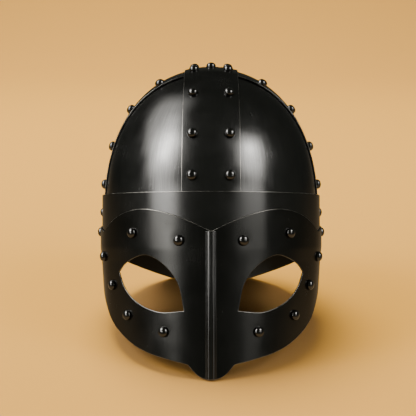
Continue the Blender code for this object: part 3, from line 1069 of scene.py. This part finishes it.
@dataclass
class SpectacleMask:
    """Brow arches, nasal, cheek guards and ear lobes in one sheet, with a ridge down the nose."""

    shop: Workshop
    half_turn: float = 104.0
    ear_notch: float = 68.0
    brow_height: float = 0.0338
    bridge_height: float = 0.0150
    nasal_radius: float = 0.0205
    nasal_flare: float = 4.0
    cheek_drop: float = 0.0946
    corner_blend: float = 0.006
    eye_inner: float = 13.0
    eye_outer: float = 51.4
    eye_top: float = -0.0050
    eye_height: float = 0.0473
    # How pale the eye rims are painted, less than the outline: bare steel and painted highlight
    eye_wear_and_sheen: float = 0.45
    ridge_width: float = 0.0098
    ridge_radius: float = 0.00018
    ridge_sharpness: float = 20.0
    ridge_crease: float = 25.0
    spacing: float = 0.0019
    row_share: float = 0.866
    even_clearance: float = 0.75
    close_clearance: float = 0.8
    rim_step: float = 0.0006
    rim_radius: float = 0.00030
    nasal_dots: int = 14
    cheek_dots: int = 74
    lobe_dots: int = 44
    end_dots: int = 12
    eye_upper_dots: int = 7
    eye_lower_dots: int = 10
    # Points picked along the photograph's edges, unrolled onto the sheet by a camera
    # model and given as shares of the sizes above
    brow_arch: Rows = (
        # turn, share of brow_height
        (0.0, 0.444), (10.0, 0.695), (18.0, 0.852), (26.4, 0.961), (34.6, 1.000),
        (43.0, 0.947), (53.2, 0.784), (60.0, 0.630), (68.0, 0.430),
    )
    ear_lobe: Rows = (
        # turn, share of brow_height
        (68.0, 0.430), (76.0, 0.480), (84.0, 0.545), (93.0, 0.570), (100.0, 0.490),
        (104.0, 0.340),
    )
    cheek_edge: Rows = (
        # turn, share of cheek_drop
        (10.4, 1.000), (22.0, 0.959), (32.0, 0.921), (42.4, 0.862), (50.0, 0.800),
        (57.0, 0.736), (64.5, 0.650), (71.0, 0.550), (79.0, 0.430), (88.0, 0.270),
        (96.0, 0.100), (101.0, -0.010), (104.0, -0.080),
    )
    eye_upper: Rows = (
        # outward, upward
        (1.000, 0.672), (0.883, 0.814), (0.720, 0.925), (0.536, 1.000), (0.390, 0.958),
        (0.242, 0.825), (0.125, 0.643), (0.050, 0.430), (0.000, 0.040),
    )
    eye_lower: Rows = (
        # outward, upward
        (0.000, 0.040), (0.270, 0.000), (0.448, 0.036), (0.617, 0.116), (0.776, 0.241),
        (0.911, 0.423), (1.000, 0.672),
    )
    ridge_section: Rows = (
        # half widths across, ridge heights out
        (1.00, 0.20), (0.95, 0.42), (0.71, 0.76), (0.66, 0.60), (0.60, 0.60),
        (0.56, 0.80), (0.34, 1.00), (0.28, 0.72), (0.22, 0.92), (0.00, 0.92),
    )

    @property
    def metres_a_turn(self) -> float:
        """Length of the sheet for one degree of turn, near enough for its grain."""
        return math.radians((self.shop.form.half_width + self.shop.form.half_length) / 2)

    @property
    def nasal_turn(self) -> float:
        """The turn at which the nasal's round end meets the cheek's lower edge.

        Returns:
            Degrees from the nose.
        """
        form = self.shop.form
        above_centre = form.nasal_drop - self.nasal_radius - self.cheek_drop
        across = math.sqrt(self.nasal_radius**2 - above_centre**2)
        return math.degrees(math.asin(across / (form.half_width + form.mask_inner)))

    def upper_edge(self, turn: np.ndarray) -> np.ndarray:
        """Height of the upper edge: a brow arch, then a lobe over the ear.

        Args:
            turn: degrees from the nose, towards +X.

        Returns:
            One height a turn.
        """
        turn = np.abs(turn)
        arch, lobe = through(self.brow_arch, turn), through(self.ear_lobe, turn)
        return self.brow_height * np.where(turn < self.ear_notch, arch, lobe)

    def lower_edge(self, turn: np.ndarray) -> np.ndarray:
        """Height of the lower edge: a round nasal, then the cheek up to the ear.

        Args:
            turn: degrees from the nose, towards +X.

        Returns:
            One height a turn.
        """
        form = self.shop.form
        turn = np.abs(turn)
        across = (form.half_width + form.mask_inner) * np.sin(np.radians(turn))
        hollow = np.sqrt(np.maximum(self.nasal_radius**2 - across**2, 0))
        past = np.maximum(across - self.nasal_radius, 0)
        nasal = self.nasal_radius - hollow - form.nasal_drop + self.nasal_flare * past
        cheek = -self.cheek_drop * through(self.cheek_edge, turn)
        # The two run into each other in a small fillet, as the cutter leaves them
        mix = np.clip(0.5 + 0.5 * (nasal - cheek) / self.corner_blend, 0, 1)
        fillet = self.corner_blend * mix * (1 - mix)
        return nasal * (1 - mix) + cheek * mix - fillet

    def outline(self) -> np.ndarray:
        """The sheet's outline, evenly dotted.

        Returns:
            One (distance round, height) pair a row.
        """
        nasal = np.linspace(0, self.nasal_turn, self.nasal_dots, endpoint=False)
        cheek = np.linspace(self.nasal_turn, self.ear_notch, self.cheek_dots, endpoint=False)
        lobe = np.linspace(self.ear_notch, self.half_turn, self.lobe_dots)
        half = np.concatenate((nasal, cheek, lobe))
        turns = np.concatenate((-half[:0:-1], half))
        top = np.stack((turns, self.upper_edge(turns)), axis=1)
        bottom = np.stack((turns, self.lower_edge(turns)), axis=1)
        left_end = np.linspace(bottom[-1], top[-1], self.end_dots, endpoint=False)[1:]
        right_end = np.linspace(top[0], bottom[0], self.end_dots, endpoint=False)[1:]
        loop = np.concatenate((bottom, left_end, top[::-1], right_end))
        loop[:, 0] *= self.metres_a_turn
        return loop

    def eye(self, side: Side) -> np.ndarray:
        """The outline of an eye opening.

        Args:
            side: its side of the helmet.

        Returns:
            One (distance round, height) pair a row.
        """
        upper = smooth_path(self.eye_upper, self.eye_upper_dots)
        path = np.concatenate((upper, smooth_path(self.eye_lower, self.eye_lower_dots)))
        turn = self.eye_inner + (self.eye_outer - self.eye_inner) * path[:, 0]
        height = self.eye_top - self.eye_height * (1 - path[:, 1])
        loop = np.stack((side.value * turn * self.metres_a_turn, height), axis=1)
        return loop if side is Side.LEFT else loop[::-1]

    def beside(self, loop: np.ndarray) -> np.ndarray:
        """Dots just beside an outline, on both sides of it.

        Args:
            loop: the outline.

        Returns:
            One dot a row.
        """
        along = np.roll(loop, -1, axis=0) - np.roll(loop, 1, axis=0)
        along /= np.linalg.norm(along, axis=1, keepdims=True)
        across = np.stack((-along[:, 1], along[:, 0]), axis=1) * self.rim_step
        return np.concatenate((loop + across, loop - across))

    def on_sheet(self, points: np.ndarray, loops: list[np.ndarray]) -> np.ndarray:
        """Which points lie on the sheet.

        Args:
            points: one (distance round, height) pair a row.
            loops: the sheet's outline, then the eyes'.

        Returns:
            A truth value for each point.
        """
        kept = inside(points, loops[0])
        for eye in loops[1:]:
            kept &= ~inside(points, eye)
        return kept

    def free_dots(self, loops: list[np.ndarray]) -> np.ndarray:
        """Dots for the mesh between the outlines: close ones along them, even ones elsewhere.

        Args:
            loops: the sheet's outline, then the eyes'.

        Returns:
            One dot a row.
        """
        low, high = loops[0].min(axis=0), loops[0].max(axis=0)
        xs = np.arange(low[0], high[0], self.spacing)
        ys = np.arange(low[1], high[1], self.spacing * self.row_share)
        grid_x, grid_y = np.meshgrid(xs, ys)
        grid_x = grid_x + (np.arange(len(ys)) % 2)[:, None] * self.spacing / 2
        even = np.stack((grid_x.ravel(), grid_y.ravel()), axis=1)
        close = np.concatenate([self.beside(loop) for loop in loops])
        edges = np.concatenate([dotted(loop) for loop in loops])
        even = even[reach(even, edges) > self.spacing * self.even_clearance]
        close = close[reach(close, edges) > self.rim_step * self.close_clearance]
        free = np.concatenate((close, even))
        return free[self.on_sheet(free, loops)]

    def sheet_mesh(self) -> bpy.types.Mesh:
        """The mask's sheet: an even mesh between its outline and the eye openings.

        Returns:
            The mesh, on the sheet's inner face.
        """
        loops = [self.outline(), *(self.eye(side) for side in Side)]
        dots = np.concatenate((*loops, self.free_dots(loops)))
        edges, start = [], 0
        for loop in loops:
            count = len(loop)
            edges += [(start + k, start + (k + 1) % count) for k in range(count)]
            start += count
        found = delaunay_2d_cdt([Vector(dot) for dot in dots], edges, [], 0, MESH_TOLERANCE)
        flat, faces = np.array([v[:] for v in found[0]]), found[2]
        first = np.array([min(source, default=start) for source in found[3]])
        # Pale rim shares, full on the outline and less round the eyes: bare steel and painted
        # highlight
        eyes = np.where(first < start, self.eye_wear_and_sheen, 0.0)
        wear_and_sheen = np.where(first < len(loops[0]), 1.0, eyes)
        middles = np.array([flat[list(face)].mean(axis=0) for face in faces])
        turns = flat[:, 0] / self.metres_a_turn
        points = self.shop.form.cheek(turns, flat[:, 1], self.shop.form.mask_inner)

        work = bmesh.new()
        brush = work.loops.layers.uv.new("brush")
        rim_wear_and_sheen = work.verts.layers.float.new("rim")
        corners = [work.verts.new(point) for point in points]
        for vertex, share in zip(corners, wear_and_sheen):
            vertex[rim_wear_and_sheen] = float(share)
        for face, kept in zip(faces, self.on_sheet(middles, loops)):
            if kept:
                made = work.faces.new([corners[k] for k in face])
                for loop, k in zip(made.loops, face):
                    loop[brush].uv = flat[k]
        loose = [vertex for vertex in corners if not vertex.link_faces]
        bmesh.ops.delete(work, geom=loose, context="VERTS")
        face_outwards(work)
        return mesh_from(work, "spectacle_mask")

    def ridge_mesh(self) -> bpy.types.Mesh:
        """The bar down the nose: a grooved section drawn from the tip to the bridge.

        Returns:
            The mesh, unworn but with the rim attribute that its finish reads.
        """
        form = self.shop.form
        face = -(form.half_length + form.mask_outer)
        half = self.ridge_width / 2
        right = [(half * across, form.ridge_height * out) for across, out in self.ridge_section]
        left = [(-across, out) for across, out in reversed(right[:-1])]
        section = right + left + [(-half, -form.sheet / 2), (half, -form.sheet / 2)]
        work = bmesh.new()
        foot = form.ridge_foot_gap - form.nasal_drop
        corners = [work.verts.new((across, face - out, foot)) for across, out in section]
        drawn = bmesh.ops.extrude_face_region(work, geom=[work.faces.new(corners)])
        moved = [part for part in drawn["geom"] if isinstance(part, bmesh.types.BMVert)]
        bmesh.ops.translate(work, verts=moved, vec=(0, 0, self.bridge_height - foot))
        bmesh.ops.recalc_face_normals(work, faces=work.faces)
        work.verts.layers.float.new("rim")
        brush = work.loops.layers.uv.new("brush")
        for part in work.faces:
            for loop in part.loops:
                loop[brush].uv = (loop.vert.co.x, loop.vert.co.z)
        mesh = mesh_from(work, "nose_ridge")
        mesh.set_sharp_from_angle(angle=math.radians(self.ridge_crease))
        return mesh

    def build(self) -> None:
        """Builds and dresses the mask, then its ridge."""
        shop, sheet, bar = self.shop, self.sheet_mesh(), self.ridge_mesh()
        slot, node = "blackened_strap", "spectacle_mask"
        mask = shop.place("spectacle_mask_satin", sheet, "mask", slot, node)
        shop.finish_sheet(mask, self.rim_radius)
        ridge = shop.place("nose_ridge", bar, "strap", slot, None)
        round_edges(ridge, "rounded_edges", self.ridge_radius, self.ridge_sharpness)


@dataclass(frozen=True)
class RivetSpot:
    """Where one rivet goes, and the faces of the stack that it holds."""

    node: str
    at: Matrix
    low: float
    high: float


@dataclass
class Rivets:
    """Every rivet: a full domed head, a shank and a peened tail."""

    shop: Workshop
    dome: Dome
    head_diameter: float = 0.0091
    head_height: float = 0.0041
    head_fullness: float = 0.86
    head_steps: int = 14
    shank_diameter: float = 0.0040
    tail_diameter: float = 0.0060
    tail_height: float = 0.0012
    seat_gap: float = 0.0001
    tail_gap: float = 0.0004
    line: float = 0.0155
    band_height: float = 0.0325
    facets: int = 36
    crease: float = 48.0
    long_rows: tuple[float, ...] = (33.6, 58.2, 76.5)
    cross_rows: tuple[float, ...] = (21.8, 38.1, 56.5, 75.9)
    tail_section: Rows = (
        # tail radii across, tail heights down
        (1.00, 0.00), (1.02, 0.30), (0.80, 0.75), (0.40, 1.00), (0.00, 1.00),
    )
    mask_rivets: tuple[tuple[str, float, float, bool], ...] = (
        # name, turn, share of nasal_drop, through the band
        ("brow_inner", 14.8, 0.070, True),
        ("brow_outer", 40.0, 0.126, True),
        ("ear", 92.0, 0.128, True),
        ("temple", 69.0, -0.075, False),
        ("cheek_upper", 58.4, -0.304, False),
        ("cheek_lower", 45.5, -0.534, False),
        ("cheek_inner", 23.3, -0.641, False),
    )
    meshes: dict[tuple[float, float], bpy.types.Mesh] = field(default_factory=dict)
    spots: list[RivetSpot] = field(default_factory=list)

    def profile(self, low: float, high: float) -> list[tuple[float, float]]:
        """The turned outline of a rivet.

        Args:
            low: the inner face of the stack that it holds.
            high: the outer face of the stack.

        Returns:
            (radius, height) pairs from the top of the head to the tail.
        """
        radius, shank, peened = (
            width / 2 for width in (self.head_diameter, self.shank_diameter, self.tail_diameter)
        )
        seat, tail = high + self.seat_gap, low - self.tail_gap
        outline = [(0.0, seat + self.head_height)]
        for step in range(1, self.head_steps + 1):
            angle = math.radians(90 - step * 90 / self.head_steps)
            out = max(math.cos(angle), 0) ** self.head_fullness
            up = max(math.sin(angle), 0) ** self.head_fullness
            outline.append((radius * out, seat + self.head_height * up))
        outline += [(shank, seat), (shank, tail)]
        for across, down in self.tail_section:
            outline.append((peened * across, tail - self.tail_height * down))
        return outline

    def turned(self, low: float, high: float) -> bpy.types.Mesh:
        """The mesh of a rivet for one stack of sheets, made once and shared.

        Args:
            low: the inner face of the stack.
            high: the outer face of the stack.

        Returns:
            The mesh, with the rivet's axis along Z.
        """
        key = (round(low, 6), round(high, 6))
        if key not in self.meshes:
            work = bmesh.new()
            dots = [work.verts.new((out, 0, up)) for out, up in self.profile(low, high)]
            edges = [work.edges.new(pair) for pair in zip(dots, dots[1:])]
            bmesh.ops.spin(
                work,
                geom=dots + edges,
                axis=(0, 0, 1),
                cent=(0, 0, 0),
                angle=4 * QUARTER_TURN,
                steps=self.facets,
                use_duplicate=False,
            )
            bmesh.ops.remove_doubles(work, verts=work.verts, dist=MERGE_DISTANCE)
            bmesh.ops.recalc_face_normals(work, faces=work.faces)
            mesh = mesh_from(work, f"rivet_{len(self.meshes)}")
            mesh.set_sharp_from_angle(angle=math.radians(self.crease))
            self.meshes[key] = mesh
        return self.meshes[key]

    def add(self, node: str, point: np.ndarray, normal: Vector, low: float, high: float) -> None:
        """Plans one rivet in place of its CAD node.

        Args:
            node: the CAD node's name.
            point: the place on the surface that low and high are measured from.
            normal: the outward direction there.
            low: the inner face of the stack that it holds.
            high: the outer face of the stack.
        """
        upright = Vector(normal).to_track_quat("Z", "Y").to_matrix().to_4x4()
        self.spots.append(RivetSpot(node, Matrix.Translation(Vector(point)) @ upright, low, high))

    def plan(self) -> list[Vector]:
        """Works out where each rivet goes.

        Returns:
            The point under each head, where the helmet stands.
        """
        form = self.shop.form
        top = form.upper_strap_inner + form.sheet
        crown = self.dome.under_long(np.zeros(1), np.zeros(1))
        self.add("crown_rivet", crown[0], form.normals(crown)[0], form.seam, top)
        for end in End:
            for side in Side:
                self.plan_quarter(side, end, top)
        self.plan_band()
        self.plan_mask()
        return [(self.shop.stance @ spot.at).translation for spot in self.spots]

    def plan_quarter(self, side: Side, end: End, top: float) -> None:
        """Plans the strap rivets that hold one plate.

        Args:
            side: the plate's side of the helmet.
            end: the plate's end of the helmet.
            top: the outer face of the long strap at the crossing.
        """
        form, dome = self.shop.form, self.dome
        side_name, end_name = side.name.lower(), end.name.lower()
        beside, before = np.array([[side.value], [end.value]]) * self.line
        lean = math.atan2(self.line, form.dome_rise)
        p = dome.under_long(beside, np.array([end.value * lean]))
        name = f"crossing_rivet_{end_name}_{side_name}"
        self.add(name, p[0], form.normals(p)[0], -form.sheet, top)
        for row, angle in enumerate(self.long_rows, 1):
            p = dome.under_long(beside, np.radians([end.value * angle]))
            lift = float(dome.long_lift(p)[0]) + form.sheet
            name = f"long_strap_rivet_{end_name}_{row}_{side_name}"
            self.add(name, p[0], form.normals(p)[0], -form.sheet, lift)
        for row, angle in enumerate(self.cross_rows, 1):
            p = dome.under_cross(before, np.radians([side.value * angle]))
            name = f"cross_strap_rivet_{side_name}_{row}_{end_name}"
            self.add(name, p[0], form.normals(p)[0], -form.sheet, form.strap_outer)

    def plan_band(self) -> None:
        """Plans the rivets where the band holds the strap ends outside the mask."""
        form = self.shop.form
        turn = 90 + math.degrees(math.asin(self.dome.cross_sweep / form.half_length))
        for angle, tag in ((-turn, "right"), (turn, "left"), (180.0, "back")):
            p = form.wall(np.array([angle]), np.array([self.band_height]), 0.0)
            normal = form.wall_normal(angle)
            self.add(f"band_rivet_{tag}", p[0], normal, form.seam, form.band_outer)

    def plan_mask(self) -> None:
        """Plans the rivets round the eyes and at the ears."""
        form = self.shop.form
        for side in Side:
            for tag, turn, share, through_band in self.mask_rivets:
                angle, height = side.value * turn, form.nasal_drop * share
                p = form.cheek(np.array([angle]), np.array([height]), form.mask_inner)
                low = form.band_inner - form.mask_inner if through_band else 0.0
                name = f"mask_rivet_{tag}_{side.name.lower()}"
                self.add(name, p[0], form.cheek_normal(angle, height), low, form.sheet)

    def build(self) -> None:
        """Builds and dresses all the rivets that are planned."""
        for spot in self.spots:
            mesh = self.turned(spot.low, spot.high)
            name = f"{spot.node}_polished"
            self.shop.place(name, mesh, "rivet", "black_rivet", spot.node, spot.at)


@dataclass(frozen=True)
class SoftPanel:
    """A softbox far off: a rectangle in the directions round the helmet, with soft edges.

    Bearings are in degrees from straight in front, towards +X; heights are in degrees over
    the horizon. Roll turns the rectangle about its middle. Half sizes are in degrees, and
    fades are shares of the distance to the softbox.
    """

    name: str
    bearing: float
    height: float
    roll: float
    half_width: float
    half_length: float
    strength: float
    left_fade: float
    right_fade: float
    end_fade: float
    least_ahead: float = 0.02

    def frame(self) -> tuple[Vector, Vector, Vector]:
        """The softbox's own directions.

        Returns:
            The directions to its middle, across it and along it.
        """
        bearing, height = math.radians(self.bearing), math.radians(self.height)
        flat = math.cos(height)
        middle = Vector((math.sin(bearing) * flat, -math.cos(bearing) * flat, math.sin(height)))
        level = Vector((0, 0, 1)).cross(middle).normalized()
        upward = middle.cross(level)
        roll = math.radians(self.roll)
        across = level * math.cos(roll) + upward * math.sin(roll)
        along = upward * math.cos(roll) - level * math.sin(roll)
        return middle, across, along

    def light(
        self, tree: bpy.types.NodeTree, direction: bpy.types.NodeSocket
    ) -> bpy.types.NodeSocket:
        """Adds the nodes that give the softbox's light in each direction.

        Args:
            tree: the world's node tree.
            direction: the socket with the direction looked in.

        Returns:
            The socket with the light's strength.
        """
        ways = []
        for axis in self.frame():
            both = {0: direction, 1: axis}
            dot = add_node(tree, "ShaderNodeVectorMath", both, operation="DOT_PRODUCT")
            ways.append(dot.outputs["Value"])
        # Held above 0, so that nothing behind the helmet divides by it
        both = {0: ways[0], 1: self.least_ahead}
        ahead = add_node(tree, "ShaderNodeMath", both, operation="MAXIMUM").outputs[0]
        share, length = (
            add_node(tree, "ShaderNodeMath", {0: way, 1: ahead}, operation="DIVIDE").outputs[0]
            for way in ways[1:]
        )
        wide = math.tan(math.radians(self.half_width))
        tall = math.tan(math.radians(self.half_length))
        strength = self.strength
        for source, edge, fade in (
            (share, -wide, self.left_fade),
            (share, wide, -self.right_fade),
            (length, -tall, self.end_fade),
            (length, tall, -self.end_fade),
        ):
            ends = {"From Min": edge, "From Max": edge + fade, "To Min": 0.0, "To Max": 1.0}
            inputs = {"Value": source, **ends}
            ramp = add_node(tree, "ShaderNodeMapRange", inputs, interpolation_type="SMOOTHSTEP")
            both = {0: ramp.outputs[0], 1: strength}
            strength = add_node(tree, "ShaderNodeMath", both, operation="MULTIPLY").outputs[0]
        return strength


@dataclass
class Studio:
    """Ground, light and camera round the helmet, in metres and degrees."""

    ground_colour: str = "#9E7744"
    ground_half_width: float = 6.0
    ground_front: float = -4.0
    ground_run: float = 9.0
    sweep_start: float = 1.6
    sweep_radius: float = 1.2
    room_foot: float = -0.42
    room_horizon: float = -0.06
    room_above: Colour = (0.085, 0.088, 0.072, 1.0)
    room_below: Colour = (0.60, 0.41, 0.21, 1.0)
    softbox_white: Triple = (1.0, 0.972, 0.915)
    lamp_size: float = 1.4
    lamp_watts: float = 212
    lamp_colour: Triple = (1.0, 0.87, 0.27)
    lamp_place: Triple = (-0.30, 0.90, 2.20)
    lamp_aim: Triple = (0.0, 0.0, 0.1)
    camera_place: Triple = (0.0, -0.8197, 0.3406)
    camera_pitch: float = -15.95
    sensor_millimetres: float = 36.0
    focal_pixels: float = 915.0
    centre_shift: float = -3.1
    nearest_seen: float = 0.01
    panels: tuple[SoftPanel, ...] = (
        # name, bearing, height, roll, half width, half length, strength, left, right, end fade
        SoftPanel("left_low", -55, 18, 5, 20, 12, 4.6, 0.05, 0.30, 0.20),
        SoftPanel("left_high", -80, 40, 30, 22, 25, 7.5, 0.30, 0.30, 0.35),
        SoftPanel("left_foot", -55, 12, 0, 18, 8, 3.2, 0.10, 0.25, 0.12),
        SoftPanel("left_core", -84, 45, 30, 10, 16, 15.0, 0.15, 0.15, 0.20),
        SoftPanel("left_top", -110, 55, 0, 15, 12, 4.5, 0.20, 0.20, 0.20),
        SoftPanel("left_back", -120, 45, 80, 20, 30, 2.7, 0.20, 0.30, 0.30),
        SoftPanel("right_foot", 50, 4, 0, 13, 9, 0.4, 0.12, 0.10, 0.14),
        SoftPanel("right_low", 46, 20, -15, 20, 9, 3.4, 0.40, 0.05, 0.15),
        SoftPanel("right_high", 65, 45, -40, 18, 24, 6.6, 0.35, 0.05, 0.35),
        SoftPanel("right_core", 72, 46, -40, 8, 10, 12.0, 0.12, 0.12, 0.15),
    )

    def build(self) -> None:
        """Adds everything round the helmet."""
        self.add_ground()
        self.add_world()
        self.add_lamp()
        self.add_camera()

    def add_ground(self) -> None:
        """Adds a plain pale ground that sweeps up far behind."""
        work = bmesh.new()
        bmesh.ops.create_grid(work, x_segments=2, y_segments=64, size=1.0)
        start, radius = self.sweep_start, self.sweep_radius
        for vertex in work.verts:
            run = (vertex.co.y + 1) / 2 * self.ground_run + self.ground_front
            past = max(run - start, 0.0)
            bend = min(past / radius, QUARTER_TURN)
            rise = radius * (1 - math.cos(bend)) + max(past - radius * QUARTER_TURN, 0.0)
            back = min(run, start) + radius * math.sin(bend)
            vertex.co = (vertex.co.x * self.ground_half_width, back, rise)
        mesh = mesh_from(work, "ground")
        material = bpy.data.materials.new("matt_pale_ground")
        material.use_nodes = True
        shader = material.node_tree.nodes["Principled BSDF"]
        shader.inputs["Base Color"].default_value = (*srgb(self.ground_colour), 1.0)
        shader.inputs["Roughness"].default_value = 0.9
        shader.inputs["Specular IOR Level"].default_value = 0.1
        mesh.materials.append(material)
        ground = bpy.data.objects.new("ground", mesh)
        bpy.context.scene.collection.objects.link(ground)
        ground.visible_glossy = False

    def add_world(self) -> None:
        """Surrounds the helmet with a dim room, warm below the horizon, and its softboxes."""
        world = bpy.data.worlds.new("studio")
        bpy.context.scene.world = world
        world.use_nodes = True
        tree = world.node_tree
        sky = tree.nodes["Background"]
        direction = add_node(tree, "ShaderNodeTexCoord").outputs["Generated"]
        height = add_node(tree, "ShaderNodeSeparateXYZ", {0: direction}).outputs["Z"]
        span = {"From Min": self.room_foot, "From Max": self.room_horizon}
        inputs = {"Value": height, **span, "To Min": 1.0, "To Max": 0.0}
        room = add_node(tree, "ShaderNodeMapRange", inputs, interpolation_type="SMOOTHSTEP")
        tones = {"Factor": room.outputs[0], "A": self.room_above, "B": self.room_below}
        tone = add_node(tree, "ShaderNodeMix", tones, data_type="RGBA")
        total = 0.0
        for panel in self.panels:
            both = {0: panel.light(tree, direction), 1: total}
            total = add_node(tree, "ShaderNodeMath", both, operation="ADD").outputs[0]
        tinted = {0: self.softbox_white, "Scale": total}
        white = add_node(tree, "ShaderNodeVectorMath", tinted, operation="SCALE")
        both = {0: tone.outputs[2], 1: white.outputs["Vector"]}
        lit = add_node(tree, "ShaderNodeVectorMath", both, operation="ADD")
        tree.links.new(lit.outputs["Vector"], sky.inputs["Color"])
        sky.inputs["Strength"].default_value = 1.0

    def add_lamp(self) -> None:
        """Adds the overhead softbox that lights the ground and shades it under the helmet."""
        lamp = bpy.data.lights.new("overhead_softbox", "AREA")
        lamp.shape = "DISK"
        lamp.size = self.lamp_size
        lamp.energy = self.lamp_watts
        lamp.color = self.lamp_colour
        holder = bpy.data.objects.new("overhead_softbox", lamp)
        bpy.context.scene.collection.objects.link(holder)
        holder.location = self.lamp_place
        aim = Vector(self.lamp_aim) - holder.location
        holder.rotation_euler = aim.to_track_quat("-Z", "Y").to_euler()
        holder.visible_glossy = False

    def add_camera(self) -> None:
        """Adds the camera at the photograph's viewing angle."""
        lens = bpy.data.cameras.new("camera")
        lens.sensor_width = self.sensor_millimetres
        lens.lens = lens.sensor_width * self.focal_pixels / IMAGE_SIDE
        lens.shift_x = self.centre_shift / IMAGE_SIDE
        lens.clip_start = self.nearest_seen
        camera = bpy.data.objects.new("camera", lens)
        bpy.context.scene.collection.objects.link(camera)
        camera.location = self.camera_place
        camera.rotation_euler = (math.radians(90 + self.camera_pitch), 0, 0)
        bpy.context.scene.camera = camera


def main() -> None:
    """Builds the helmet's pieces in order, then the studio round them."""
    logging.basicConfig(level=logging.INFO, format="%(message)s")
    shop = Workshop(HelmetForm(), finishes())
    dome = Dome(shop)
    rivets = Rivets(shop, dome)
    # Planned before the sheets are made, so that each sheet is dished where its rivets sit
    shop.dents = rivets.plan()
    dome.build()
    BrowBand(shop).build()
    SpectacleMask(shop).build()
    rivets.build()
    Studio().build()
    bpy.context.view_layer.update()


if __name__ == "__main__":
    main()
